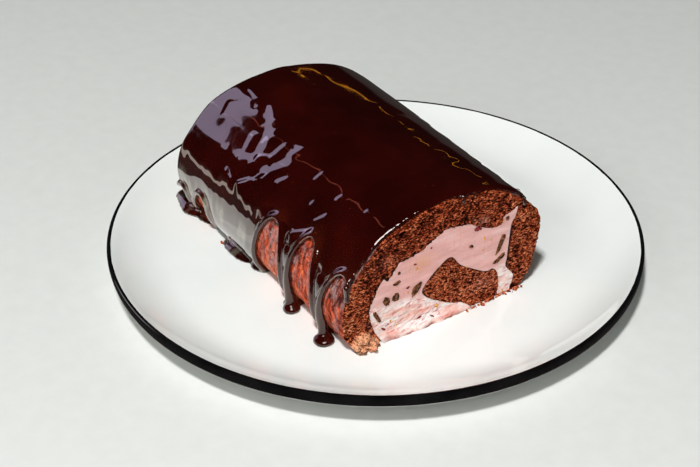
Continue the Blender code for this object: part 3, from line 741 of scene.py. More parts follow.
def spongeMaterial():
    # Chocolate sheet sponge: cocoa batter whisked full of air and baked. The cut shows torn pores and
    # warm, lighter crumb between them; shade is painted dark into the pores' bottoms and low places, and light onto the
    # raised crumb. Its own skin, where the syrup of the glaze has soaked in, is redder, smeared and wet, with a grey
    # bloom of frost, and painted darker higher up where the glaze's bead shades it.
    made, tree, shader, coords = newMaterial("chocolate sheet sponge", {
        "IOR": 1.4, "Specular IOR Level": 0.2, "Subsurface Weight": 0.08,
        "Subsurface Radius": (1.0, 0.35, 0.2), "Subsurface Scale": 0.0012})
    marks = {name: addNode(tree, "Attribute", {"attribute_name": name})
             for name in ("pit", "seam", "tone", "skin", "lift", "smear", "frost")}
    pulled = addNode(tree, "Mapping", {"Rotation": (math.radians(-crumb["tear"]), 0, 0), "Scale": (1.0, 0.5, 1.2)},
                     {"Vector": (coords, "Object")})
    fine = addNode(tree, "TexNoise", {"Scale": perMm(0.7), "Detail": 4.0, "Roughness": 0.6, "Distortion": 0.4},
                   {"Vector": (pulled, 0)})
    strong = addNode(tree, "Math", {"operation": "MULTIPLY_ADD", 1: 1.6, 2: -0.3}, {0: (fine, "Fac")})
    # painted shade of the tiny pores, from the same fine noise as the crumb's grain
    poreShade = addNode(tree, "ValToRGB", {"ramp": [(0.38, 0.95), (0.47, 0.0)]}, {"Fac": (fine, "Fac")})
    patch = addNode(tree, "TexNoise", {"Scale": perMm(5), "Detail": 3.0}, {"Vector": (coords, "Object")})
    blend = addNode(tree, "Math", {"operation": "MULTIPLY_ADD", 1: 0.3}, {0: (patch, "Fac"), 2: (strong, 0)})
    # painted light and shade: the crumb is lighter where its relief stands up and darker where it sinks
    blend = addNode(tree, "Math", {"operation": "MULTIPLY_ADD", 1: 0.22}, {0: (marks["lift"], "Fac"), 2: (blend, 0)})
    blend = addNode(tree, "Math", {"operation": "ADD"}, {0: (blend, 0), 1: (marks["tone"], "Fac")})
    cocoa = addNode(tree, "ValToRGB", {"ramp": [(0.38, "#240501"), (0.50, "#66200E"), (0.62, "#A34122"),
                                                (0.76, "#DA7548"), (0.95, "#F8AE84")]}, {"Fac": (blend, 0)})
    # the bared skin: smeared down the side, with cracks, and frost on the high places
    stretch = addNode(tree, "Mapping", {"Rotation": (0, math.radians(24), 0), "Scale": (1.5, 1.0, 0.5)},
                      {"Vector": (coords, "Object")})
    smear = addNode(tree, "TexNoise", {"Scale": perMm(4.5), "Detail": 6.0, "Roughness": 0.68, "Distortion": 0.9},
                    {"Vector": (stretch, 0)})
    parts = addNode(tree, "SeparateXYZ", {}, {0: (coords, "Object")})
    # painted shade: the bared skin is darker higher up, where the glaze's bead over the arch shades it, and lighter
    # towards its foot
    rise = addNode(tree, "MapRange", {"From Min": 0.010, "From Max": 0.046, "To Min": 0.07, "To Max": -0.07},
                   {"Value": (parts, "Z")})
    wet = addNode(tree, "Math", {"operation": "ADD"}, {0: (smear, "Fac"), 1: (rise, 0)})
    wet = addNode(tree, "Math", {"operation": "ADD"}, {0: (wet, 0), 1: (marks["tone"], "Fac")})
    soaked = addNode(tree, "ValToRGB", {"ramp": [(0.33, "#4E1A10"), (0.42, "#9C3D2A"), (0.50, "#D95A38"),
                                                 (0.60, "#F6804F"), (0.72, "#FFB283")]}, {"Fac": (wet, 0)})
    frostSpread = addNode(tree, "TexNoise", {"Scale": perMm(5), "Detail": 8.0, "Roughness": 0.75,
                                             "Distortion": 0.5}, {"Vector": (stretch, 0)})
    frosty = addNode(tree, "Math", {"operation": "ADD"}, {0: (frostSpread, "Fac"), 1: (marks["frost"], "Fac")})
    frostMask = addNode(tree, "ValToRGB", {"ramp": [(0.52, 0.0), (0.60, 0.55), (0.68, 0.9)]}, {"Fac": (frosty, 0)})
    frosted = addNode(tree, "Mix", {"data_type": "RGBA", 7: "#BF9C98"}, {0: (frostMask, 0), 6: (soaked, 0)})
    body = addNode(tree, "Mix", {"data_type": "RGBA"}, {0: (marks["skin"], "Fac"), 6: (cocoa, 0),
                                                        7: (frosted, 2)})
    seamed = addNode(tree, "Mix", {"data_type": "RGBA", 7: "#3A2019"}, {0: (marks["seam"], "Fac"), 6: (body, 2)})
    smeared = addNode(tree, "Mix", {"data_type": "RGBA", 7: "#C58A7C"}, {0: (marks["smear"], "Fac"), 6: (seamed, 2)})
    # painted shade: pore bottoms, craters and splits are mixed towards near-black
    depth = addNode(tree, "Math", {"operation": "MULTIPLY", 1: 0.7}, {0: (marks["pit"], "Fac")})
    bare = addNode(tree, "Math", {"operation": "SUBTRACT", 0: 1.0}, {1: (marks["skin"], "Fac")})
    torn = addNode(tree, "Math", {"operation": "MULTIPLY"}, {0: (poreShade, 0), 1: (bare, 0)})
    depth = addNode(tree, "Math", {"operation": "MAXIMUM"}, {0: (depth, 0), 1: (torn, 0)})
    pitShaded = addNode(tree, "Mix", {"data_type": "RGBA", 7: "#1A0502"}, {0: (depth, 0), 6: (smeared, 2)})
    tree.links.new(pitShaded.outputs[2], shader.inputs["Base Color"])
    gloss = addNode(tree, "MapRange", {"From Min": 0.0, "From Max": 1.0, "To Min": 0.82, "To Max": 0.42},
                    {"Value": (marks["skin"], "Fac")})
    tree.links.new(gloss.outputs[0], shader.inputs["Roughness"])
    cells = addNode(tree, "TexVoronoi", {"Scale": perMm(0.8)}, {"Vector": (pulled, 0)})
    rough = addNode(tree, "Math", {"operation": "MULTIPLY_ADD", 1: 0.4}, {0: (cells, "Distance"), 2: (fine, "Fac")})
    bump = addNode(tree, "Bump", {"Strength": 1.0, "Distance": 0.0009}, {"Height": (rough, 0)})
    tree.links.new(bump.outputs[0], shader.inputs["Normal"])
    return made


def buildSponge():
    paint = spongeMaterial()
    nodes = {"spongeWrap": "sponge_wrap", "spongeLid": "sponge_lid", "spongeSide": "sponge_side",
             "spongeCore": "sponge_core"}
    outlines = {
        "spongeWrap": joinLines(line["wrapOutside"], line["leftSeam"], line["wrapInside"][::-1]),
        "spongeLid": joinLines(line["lidOutside"], line["rightSeam"][::-1], line["lidInside"][::-1],
                                line["leftSeam"][::-1]),
        "spongeSide": joinLines(line["sideOutside"], line["sideInside"][::-1], line["rightSeam"]),
        "spongeCore": joinLines(line["coreOutside"]),
    }
    tones = {
        "spongeWrap": lambda p: np.clip(0.0 - 0.004 * (p[:, 0] + 51) - 0.003 * (p[:, 1] - 15), -0.11, 0.03),
        "spongeLid": lambda p: -0.08 + 0 * p[:, 0],
        "spongeSide": lambda p: -0.05 + 0 * p[:, 0],
        "spongeCore": lambda p: -0.02 + 0 * p[:, 0],
    }
    for seed, (name, outline) in enumerate(outlines.items()):
        drawn = outline - 0.08 * outwardNormals(outline)
        drawn = fillBase(drawn)
        piece = cutBody(name, drawn, [paint])
        if name in ("spongeWrap", "spongeSide"):
            splitWindows(piece)
        shapeCrumb(piece, 20 + seed * 13, tones[name])
        finishPiece(piece, [nodes[name]])


def fillBase(outline):
    # the straight foot of an outline gets points as close together as the rest
    step = roll["spacing"]
    points = []
    for a, b in zip(outline, np.roll(outline, -1, 0)):
        count = max(1, int(np.linalg.norm(b - a) / (1.5 * step)))
        for i in range(count):
            points.append(a + (b - a) * i / count)
    return np.array(points)


buildSponge()


# ---------- the ice cream: pink, churned, with chocolate flakes, cherry and candied peel

filling = {
    # flakes: across, up, length, width, turn in degrees
    "flakes": [(-37.8, 14.8, 9, 2.8, -64), (-32.5, 22.4, 6.4, 4.4, -50), (-27, 22.6, 4.6, 3.8, 60),
               (-27.2, 30.3, 5, 1.8, 12), (-15.2, 22.8, 10.5, 4.4, 48), (34, 30.2, 12.6, 2.8, 69),
               (33.4, 21.8, 8.6, 2.8, 38), (16.2, 35.5, 2.6, 1.4, -15), (37.6, 44, 2.6, 2.0, 50),
               (-25.6, 35.5, 2.2, 1.5, 60)],
    # bits of cherry and of peel: across, up, length, width, turn
    "cherries": [(19.6, 44.2, 4.8, 2.6, -20), (-20.3, 25.5, 2.4, 1.2, 10), (-16.4, 37.2, 2.2, 0.9, -15),
                 (-7.4, 43.2, 1.4, 1.0, 40), (-34.2, 6.8, 3.4, 1.4, -35), (-32.0, 8.2, 2.4, 0.9, 15),
                 (-13.2, 5.2, 2.6, 0.8, 15), (-6.2, 3.6, 2.8, 0.8, -35), (3.4, 9.6, 1.8, 1.1, 0)],
    "peel": [(23.9, 37.3, 1.0, 2.4, 0), (-2.9, 7.7, 2.2, 2.4, 0), (-15.2, 34.1, 1.4, 1.4, 0),
             (-20.2, 22.3, 1.6, 1.2, 0), (-26.6, 5.9, 0.9, 1.8, 0), (-30.2, 10.0, 1.1, 1.6, 0),
             (13.9, 24.5, 0.9, 1.9, 20), (36.6, 2.3, 1.0, 2.2, 30), (34.9, 43.0, 1.0, 1.5, 0),
             (28.6, 34.6, 0.8, 1.2, 0), (23.5, 30.6, 0.8, 1.4, 0)],
}


def iceMaterial():
    # Strawberry ice cream: churned milk fat and ice, so a dense, faintly see-through pink with a wet
    # sheen where the knife smeared it, paler and torn into crumbs of ice lower down.
    made, tree, shader, coords = newMaterial("strawberry ice cream", {
        "Roughness": 0.5, "IOR": 1.36, "Subsurface Weight": 0.35, "Subsurface Radius": (1.0, 0.5, 0.38),
        "Subsurface Scale": 0.0035})
    marks = {name: addNode(tree, "Attribute", {"attribute_name": name})
             for name in ("torn", "streak", "warm", "stain")}
    stretch = addNode(tree, "Mapping", {"Rotation": (math.radians(-8), 0, 0), "Scale": (1.0, 0.35, 1.6)},
                      {"Vector": (coords, "Object")})
    cloud = addNode(tree, "TexNoise", {"Scale": perMm(6), "Detail": 5.0}, {"Vector": (stretch, 0)})
    smooth = addNode(tree, "ValToRGB", {"ramp": [(0.3, "#E0A6A0"), (0.55, "#EBB4AE"), (0.75, "#F3C8C3")]},
                     {"Fac": (cloud, "Fac")})
    pale = addNode(tree, "ValToRGB", {"ramp": [(0.3, "#EEAA9A"), (0.46, "#F7D0C6"), (0.62, "#FDF0EB")]},
                   {"Fac": (cloud, "Fac")})
    base = addNode(tree, "Mix", {"data_type": "RGBA"}, {0: (marks["torn"], "Fac"), 6: (smooth, 0), 7: (pale, 0)})
    peach = addNode(tree, "Mix", {"data_type": "RGBA", 7: "#DFA07C"}, {0: (marks["warm"], "Fac"), 6: (base, 2)})
    dragged = addNode(tree, "Mix", {"data_type": "RGBA", 7: "#D2606A"}, {0: (marks["streak"], "Fac"), 6: (peach, 2)})
    stained = addNode(tree, "Mix", {"data_type": "RGBA", 7: "#8E4633"}, {0: (marks["stain"], "Fac"), 6: (dragged, 2)})
    tree.links.new(stained.outputs[2], shader.inputs["Base Color"])
    ice = addNode(tree, "TexNoise", {"Scale": perMm(0.8), "Detail": 5.0}, {"Vector": (coords, "Object")})
    bump = addNode(tree, "Bump", {"Strength": 0.35, "Distance": 0.0005}, {"Height": (ice, "Fac")})
    tree.links.new(bump.outputs[0], shader.inputs["Normal"])
    return made


def shapeIce(piece):
    points = readPoints(piece)
    cut = np.zeros(len(points), np.float32)
    piece.data.attributes["cut"].data.foreach_get("value", cut)
    section = np.stack([points[:, 1] - roll["middleY"], points[:, 2] - plate["floorHeight"]], 1)
    across, up = section[:, 0], section[:, 1]
    # the lower half is torn, above a line that falls to the right
    edge = 21.5 - 0.16 * (across + 25) + 2.5 * grain(section, (9, 9), 4)
    torn = np.clip((edge - up) / 5.0, 0, 1)
    torn = np.maximum(torn, np.clip((across - 30) / 4, 0, 1) * np.clip((19 - up) / 4, 0, 1))
    relief = 0.10 * grain(section, (14, 3.0), 1) + 0.07 * grain(section, (5, 0.9), 2)
    spun = np.stack([across + 0.2 * up, up - 0.2 * across], 1)  # dragged a little uphill to the right
    rough = 0.4 * grain(spun, (3.6, 1.3), 5) + 0.26 * grain(spun, (1.5, 0.7), 6)
    rough += 0.16 * grain(section, (0.8, 0.5), 7)
    relief += torn * rough
    streaks = np.clip(grain(spun, (3.0, 0.7), 8) - 0.12, 0, 1) * 4.0 * torn
    streaks = np.clip(streaks, 0, 1) * np.clip(grain(section, (8, 6), 9) * 2.5 + 0.7, 0, 1)
    relief -= 0.2 * streaks
    for sign in (1, -1):
        chosen = np.abs(cut - sign) < 0.01
        points[chosen, 0] += sign * relief[chosen]
        if sign == 1:
            points[chosen, 0] += toe(piece.name, points[chosen, 1], points[chosen, 2]) * (1 + 0.4 * grain(
                section[chosen], (5, 4), 12))
    points[:, 2] = np.maximum(points[:, 2], plate["floorHeight"] - 0.05)
    writePoints(piece, points)
    writeMark(piece, "torn", torn)
    writeMark(piece, "streak", streaks * 0.75)
    warm = np.exp(-(((across + 12.5) / 5) ** 2 + ((up - 36.5) / 4) ** 2)) * 0.7
    warm += 0.7 * np.clip(grain(section, (1.1, 12), 14) - 0.22, 0, 1) * (1 - torn)
    writeMark(piece, "warm", warm)
    stain = np.exp(-((up - 0.2) / 0.7) ** 2) * np.clip(0.5 + grain(section, (6, 3), 15) * 1.4, 0, 1)
    stain = np.maximum(stain, 0.7 * np.exp(-(((across + 31) / 4.5) ** 2 + ((up - 0.4) / 1.6) ** 2)))
    writeMark(piece, "stain", stain)


def chipMaterial(name, settings, ramp, size):
    made, tree, shader, coords = newMaterial(name, settings)
    mottle = addNode(tree, "TexNoise", {"Scale": perMm(size), "Detail": 4.0, "Roughness": 0.7},
                     {"Vector": (coords, "Object")})
    tone = addNode(tree, "ValToRGB", {"ramp": ramp}, {"Fac": (mottle, "Fac")})
    bump = addNode(tree, "Bump", {"Strength": 0.5, "Distance": 0.0004}, {"Height": (mottle, "Fac")})
    tree.links.new(tone.outputs[0], shader.inputs["Base Color"])
    tree.links.new(bump.outputs[0], shader.inputs["Normal"])
    return made


def chip(spot, proud, deep, seed, corners=7, front=True):
    # one broken chip, standing a little proud of the cut
    across, up, length, width, turn = spot
    rng = random.Random(seed)
    deselectAll()
    bpy.ops.mesh.primitive_cylinder_add(vertices=corners, radius=0.5, depth=1.0)
    made = bpy.context.object
    bpy.ops.object.mode_set(mode="EDIT")
    bpy.ops.mesh.bevel(offset=0.09, segments=2, affect="EDGES")
    bpy.ops.mesh.subdivide(number_cuts=2)
    bpy.ops.object.mode_set(mode="OBJECT")
    facing = math.radians(turn)
    reach = [rng.uniform(0.62, 1.18) for corner in range(corners)]  # no two sides snap alike
    for vert in made.data.vertices:
        x, y, z = vert.co
        step = (math.atan2(y, x) / math.tau % 1) * corners
        share = step % 1
        wobble = reach[int(step) % corners] * (1 - share) + reach[(int(step) + 1) % corners] * share
        wobble *= 1 + 0.25 * noise.noise((x * 5 + seed, y * 5, z * 2))
        a, b = x * length * wobble * 1.1, y * width * wobble * 1.1
        depth = (z + 0.5) * (deep + proud) - deep
        depth += 0.45 * noise.noise((a * 0.8, b * 0.8, seed * 3.7)) * (z > 0)
        cosT, sinT = math.cos(facing), math.sin(facing)
        u, v = across + a * cosT - b * sinT, up + a * sinT + b * cosT
        v = max(v, 0.4)
        base = roll["frontX"] if front else float(rearPlane(u, v))
        foot = float(toe("iceCream", np.array([roll["middleY"] + u]), np.array([plate["floorHeight"] + v]))[0])
        x = base + depth + foot if front else base - depth
        vert.co = Vector((x, roll["middleY"] + u, plate["floorHeight"] + v)) * mm
    return made


def joinPieces(pieces, name, paint):
    deselectAll()
    for piece in pieces:
        piece.select_set(True)
    bpy.context.view_layer.objects.active = pieces[0]
    bpy.ops.object.join()
    made = bpy.context.object
    made.name = name
    made.data.materials.clear()
    made.data.materials.append(paint)
    bpy.ops.object.mode_set(mode="EDIT")
    bpy.ops.mesh.select_all(action="SELECT")
    bpy.ops.mesh.normals_make_consistent(inside=False)
    bpy.ops.object.mode_set(mode="OBJECT")
    return made


def buildFilling():
    inside = [line["wrapInside"], line["lidInside"], line["sideInside"]]
    outline = joinLines(*inside, line["coreOutside"][::-1])
    outline = fillBase(outline - 0.02 * outwardNormals(outline))
    ice = cutBody("iceCream", outline, [iceMaterial()])
    shapeIce(ice)
    finishPiece(ice, ["ice_cream"])

    # Dark chocolate, snapped into flakes: matt brown where it broke, nearly black on its skin.
    dark = chipMaterial("dark chocolate flake", {"Roughness": 0.6, "IOR": 1.46, "Specular IOR Level": 0.15},
                        [(0.34, "#140A05"), (0.45, "#3A2012"), (0.55, "#7A4A2C"), (0.66, "#A4704A")], 1.5)
    flakes = [chip(spot, 0.45, 2.0, 3 + i) for i, spot in enumerate(filling["flakes"])]
    flakes += [chip(spot, 0.45, 2.0, 40 + i, front=False) for i, spot in enumerate(filling["flakes"])]
    finishPiece(joinPieces(flakes, "chocolateFlakes", dark), [], 35)

    # Soft cherry, boiled in syrup: wet, dark red, light passing through its edges.
    red = chipMaterial("cherry in syrup", {"Roughness": 0.25, "IOR": 1.42, "Subsurface Weight": 0.2,
                                           "Subsurface Scale": 0.001},
                       [(0.35, "#5A0D14"), (0.6, "#8E1B22"), (0.8, "#B4454A")], 1.2)
    cherries = [chip(spot, 0.25, 1.2, 70 + i, 6) for i, spot in enumerate(filling["cherries"])]
    cherries += [chip(spot, 0.25, 1.2, 90 + i, 6, front=False) for i, spot in enumerate(filling["cherries"])]
    finishPiece(joinPieces(cherries, "cherryBits", red), [], 60)

    # Candied orange peel, diced: bright and waxy.
    orange = chipMaterial("candied peel", {"Roughness": 0.3, "IOR": 1.45, "Subsurface Weight": 0.2,
                                           "Subsurface Scale": 0.001},
                          [(0.35, "#E08E3C"), (0.6, "#F0AE5A"), (0.8, "#F6C98A")], 1.4)
    peel = [chip(spot, 0.2, 1.0, 110 + i, 6) for i, spot in enumerate(filling["peel"])]
    peel += [chip(spot, 0.2, 1.0, 140 + i, 6, front=False) for i, spot in enumerate(filling["peel"])]
    finishPiece(joinPieces(peel, "peelBits", orange), [], 60)


buildFilling()


def scatterCrumbs():
    # crumbs that fell from the cut, and a few at the far end, lying on the plate
    rng = random.Random(6)
    lying = []
    for across, spread, count, biggest in crumb["fallen"]:
        for i in range(count):
            u = rng.gauss(across, spread)
            out = abs(rng.gauss(0, 0.7))
            lying.append((roll["frontX"] + float(toe("iceCream", np.array([roll["middleY"] + u]),
                          np.array([8.0]))[0]) + out, roll["middleY"] + u, 0.16 + (biggest - 0.16) * rng.random() ** 2))
    for x, y, spread, count in crumb["strewn"]:
        lying += [(rng.gauss(x, spread), rng.gauss(y, spread), rng.uniform(0.2, 0.6)) for i in range(count)]
    pieces = []
    for i, (x, y, size) in enumerate(lying):
        deselectAll()
        bpy.ops.mesh.primitive_ico_sphere_add(subdivisions=2, radius=1.0)
        made = bpy.context.object
        z = float(plateTop(math.hypot(x, y)))
        for vert in made.data.vertices:
            lump = size * (1 + 0.55 * noise.noise(vert.co * 1.7 + Vector((i * 3.1, 0, 0))))
            vert.co = Vector((x + vert.co.x * lump * 1.2, y + vert.co.y * lump * 1.2,
                              max(z, z + size * 0.7 + vert.co.z * lump))) * mm
        pieces.append(made)
    finishPiece(joinPieces(pieces, "looseCrumbs", bpy.data.materials["chocolate sheet sponge"]), [])


scatterCrumbs()


# ---------- the glaze: poured over the frozen roll, so it ran down in arches and set as it went

glaze = {
    "depth": 2.5,
    "inner": 0.12,
    "step": 0.9,                 # mm between points of its mesh
    "edgeRound": 4.0, "rearRound": 2.4, "rearCrownRound": 5.0,
    "edgeWander": 0.3,           # how far the knife's edge strays from the cut
    "bead": 1.45,                # radius of the bead that rolled up along each arch
    # the coat filled the roll's hollows, so its own line is rounder over the crown
    "coatOutside": [(-49.5, 0), (-55.8, 9.5), (-57.2, 20), (-54.5, 33), (-47.8, 43), (-36, 55), (-19, 62.3),
                    (0, 65.5), (10, 64.9), (20, 63.5), (30, 61.0), (38, 57.7), (46.5, 51.9), (55.2, 43.5),
                    (58.3, 35), (57, 22), (53, 8), (46.5, 0)],
    # runs: X at the top, X at the foot, radius at the top and foot, radius of the drop
    "leftRuns": [(18.8, 22.8, 3.4, 2.6, 4.3), (47.9, 52.6, 2.9, 2.2, 5.3)],
    "rightRuns": [(-57.5, -58, 3.2, 2.6, 5), (-29, -27, 3.4, 2.6, 4.6), (4.5, 6, 3, 2.5, 5.2),
                  (35, 38, 3.3, 2.5, 4.8)],
    "runTop": 30.0, "runAcross": 57.6,
    "pools": [(-93, -60.5, 12, 5.5, 2.6), (-84, -61.5, 9.5, 6.5, 2.8), (-74, -59.8, 10, 4.6, 2.4),
              (-35, -61.8, 12.5, 4.8, 2.6), (-17, -60, 5.5, 3.4, 2.2), (20.5, -63, 5.5, 3.6, 2.2)],
    "edgeDrops": [(-54.6, 38, 31.2, 1.5), (10.3, 65, 62.6, 1.1), (47.0, 51.5, 49.0, 1.2)],
    # waves that set in it: X and distance round the roll of both ends, width and rise of the steep flank,
    # which climbs to the right of the way from the first end to the second
    "waves": [
        (-45.5, 83.7, -57.5, 90, 4.4, 0.3), (-37.5, 75.6, -46.5, 84.2, 5, 0.36),
        (-34, 66.2, -37.5, 76.5, 7.5, 0.55), (-43.5, 62.9, -32.5, 66.2, 5.5, 0.75),
        (-33.5, 67.6, -24.5, 71.8, 2, 0.22), (-25, 71.8, -25, 78.4, 3.6, 0.32),
        (-45, 66.2, -47.5, 72.7, 2.8, 0.2), (-16.5, 77.5, -17.5, 86.2, 7.5, 0.62),
        (-22.5, 65.2, -11.5, 74.6, 7.5, 0.85), (-9.5, 64.8, -5, 69.5, 3.2, 0.4),
        (-34.5, 51.2, -19.5, 62.9, 3.2, 0.85), (17, 50.2, 27.5, 57.5, 3.2, 1),
        (25.5, 61.4, 30.5, 67.1, 2.2, 0.4), (8, 76.5, 8, 80.3, 1.8, 0.22),
        (28.5, 75.6, 29, 77.9, 1.6, 0.22), (47.5, 79.4, 48, 81.3, 1.5, 0.22),
        (17.5, 66.6, 18, 68.1, 1.4, 0.2), (-55.5, 61.4, -52.5, 59.4, 1.8, 0.25),
        (-60.5, 59, -59.5, 60.4, 1.2, 0.14), (-47.5, 52.1, -40.5, 50.2, 2, 0.35),
        (-67.5, 88.6, -78.5, 90, 2, 0.16), (-76.5, 71.8, -80, 77.5, 2.4, -0.07),
        (-63.5, 83.2, -67.5, 85.2, 2, -0.06), (-50, 79, -61, 87.5, 3, -0.08),
        (-67, 62, -66, 68, 13, 0.10),
    ],
    "wander": 0.016, "wanderSize": 16,      # slow unevenness everywhere
    "streaks": 0.02,                        # drawn out along the roll
    "bayWander": 0.045, "baySize": 8,       # up the side nearest the cut
    "crownWander": 0.10, "crownSize": 13,   # and more over the crown
    "pucker": 0.06, "puckerSize": 5.0,      # where it bulges over the runs
}


def sectionTables(outline):
    # how far outside the outline a place is, and how far round it
    ends = outline[0], outline[-1]
    closed = np.vstack([[ends[0][0], -8.0], outline, [ends[1][0], -8.0]])

    def distance(points):
        far, side, along = lineDistance(points, closed)
        return far * side

    def arc(points):
        return lineDistance(points, closed)[2]
    window = (-76, -9), (76, 84)
    return Table(*window, 0.25, distance), Table(*window, 0.5, arc)


depthTable = sectionTables(rollOutside)[0]
coatTable, arcTable = sectionTables(smoothLine(glaze["coatOutside"], roll["spacing"]))


def capsule(p, a, b, ra, rb):
    a, b = np.array(a, float), np.array(b, float)
    run = b - a
    t = np.clip(((p - a) @ run) / (run @ run), 0, 1)
    return np.linalg.norm(p - a - t[:, None] * run, axis=1) - (ra + (rb - ra) * t)


def blob(p, middle, sizes):
    sizes = np.array(sizes, float)
    q = (p - np.array(middle, float)) / sizes
    length = np.linalg.norm(q, axis=1)
    slope = np.linalg.norm(q / sizes, axis=1) + 1e-9
    return length * (length - 1) / slope


def ripples(flat):
    x, arc = flat[:, 0], flat[:, 1]
    height = glaze["wander"] * softNoise(flat, glaze["wanderSize"], 5) + 0.0025 * softNoise(flat, 5, 8)
    height += glaze["streaks"] * softNoise(flat * (0.3, 1), 6, 33)
    bay = np.clip((x + 22) / 12, 0, 1) * np.exp(-((arc - 80) / 14) ** 2)
    height += glaze["bayWander"] * bay * softNoise(flat, glaze["baySize"], 41)
    crown = np.clip((arc - 96) / 18, 0, 1)
    height += crown * (np.clip((x + 40) / 25, 0.08, 1) * (glaze["crownWander"] * softNoise(
        flat, glaze["crownSize"], 12) + 0.03 * softNoise(flat, 6, 13)) - 0.08)
    height += glaze["pucker"] * np.exp(-((arc - 45) / 5) ** 2) * softNoise(flat, glaze["puckerSize"], 21)
    height += 0.05 * np.exp(-((arc - 42) / 4) ** 2) * softNoise(flat * (1, 0.35), 3.2, 22)
    rearTop = np.clip((-46 - x) / 8, 0, 1) * np.exp(-((arc - 95) / 10) ** 2)
    height += 0.015 * rearTop * softNoise(flat, 5.5, 71)
    for x0, arc0, x1, arc1, width, rise in glaze["waves"]:
        way = np.array([x1 - x0, arc1 - arc0], float)
        length = np.hypot(*way)
        way /= length
        along = (x - x0) * way[0] + (arc - arc0) * way[1]
        aside = (x - x0) * way[1] - (arc - arc0) * way[0]
        climb = np.clip(aside / width + 0.5, 0, 1)
        past = np.clip(aside - width / 2, 0, None) / (2.2 * width)
        beyond = np.clip(-along, 0, None) + np.clip(along - length, 0, None)
        height += rise * climb**2 * (3 - 2 * climb) * np.exp(-past**2 - (beyond / (0.6 * width)) ** 2)
    return height


rippleTable = Table((-108, 0), (76, 172), 0.3, ripples)
edgeArcs = np.arange(0, 172, 0.3)
edgeLine = glaze["edgeWander"] * np.abs(softNoise(edgeArcs[:, None], 7, 61))


def glazeField(p):
    # distance to the glaze's surface, in millimetres, less than 0 inside it
    x, across, up = p[:, 0], p[:, 1] - roll["middleY"], p[:, 2] - plate["floorHeight"]
    depth = depthTable.read(across, up)
    arc = arcTable.read(across, up)
    opening = np.where(across < 0, openings[-1].read(x, up), openings[1].read(x, up))
    opening = np.where(np.abs(across) > 30, opening, 30.0)
    # between the arches the coat has run thin, and the runs stand out of it
    fullness = 0.45 + 0.55 * np.clip(opening / 10, 0, 1)
    outer = coatTable.read(across, up) - glaze["depth"] * fullness - rippleTable.read(x, arc)
    front = x - (roll["frontX"] - 0.35) + np.interp(arc, edgeArcs, edgeLine)
    rear = rearPlane(across, up) + 0.5 - x
    coat = smoothMax(outer, front, glaze["edgeRound"])
    crown = np.clip((arc - 70) / 30, 0, 1)
    coat = smoothMax(coat, rear, glaze["rearRound"] * (1 - crown) + glaze["rearCrownRound"] * crown)
    # at the right front shoulder it thins out, with no bead
    thin = np.clip((x - 50) / 12, 0, 1) * (across > 0)
    coat = smoothMax(coat, 0.9 - opening, 1.6 + 3 * thin)
    beadSize = glaze["bead"] * (1 - 0.75 * thin)
    beadMiddle = beadSize + 0.1
    bead = np.hypot(opening - beadMiddle + 0.2, depth - beadMiddle - 0.25) - beadSize + 1.5 * thin
    bead = smoothMax(smoothMax(bead, front, 1.2), rear, 1.2)
    field = smoothMin(coat, bead, 1.2)
    floorUp = plate["floorHeight"]
    for side, runs in ((-1, glaze["leftRuns"]), (1, glaze["rightRuns"])):
        y = roll["middleY"] + side * glaze["runAcross"]
        for topX, footX, topRadius, footRadius, dropRadius in runs:
            top = (topX, y - side * 2.4, floorUp + glaze["runTop"])
            run = capsule(p, top, (footX, y + side * 0.5, floorUp + 1), topRadius, footRadius)
            field = smoothMin(field, run, 2.4)
            drop = blob(p, (footX + 0.8, y + side * 0.4, floorUp + 0.3), (dropRadius, dropRadius, 3.5))
            field = smoothMin(field, drop, 1.4)
    for poolX, poolY, long, wide, high in glaze["pools"]:
        z = float(plateTop(math.hypot(poolX, poolY)))
        field = smoothMin(field, blob(p, (poolX, poolY, z), (long, wide, high)), 2.0)
    for edgeAcross, top, tip, radius in glaze["edgeDrops"]:
        y = roll["middleY"] + edgeAcross
        drop = capsule(p, (roll["frontX"] - 0.4, y, floorUp + top), (roll["frontX"] + 0.2, y, floorUp + tip),
                       radius, radius * 0.8)
        field = smoothMin(field, drop, 1.5)
    # the sponge and the plate keep their own room
    body = np.maximum(depth - glaze["inner"], x - roll["frontX"] - 0.1)
    body = np.maximum(body, rearPlane(across, up) - 0.1 - x)
    field = np.maximum(field, -body)
    return np.maximum(field, plateTop(np.hypot(x, p[:, 1])) - 0.15 - p[:, 2])


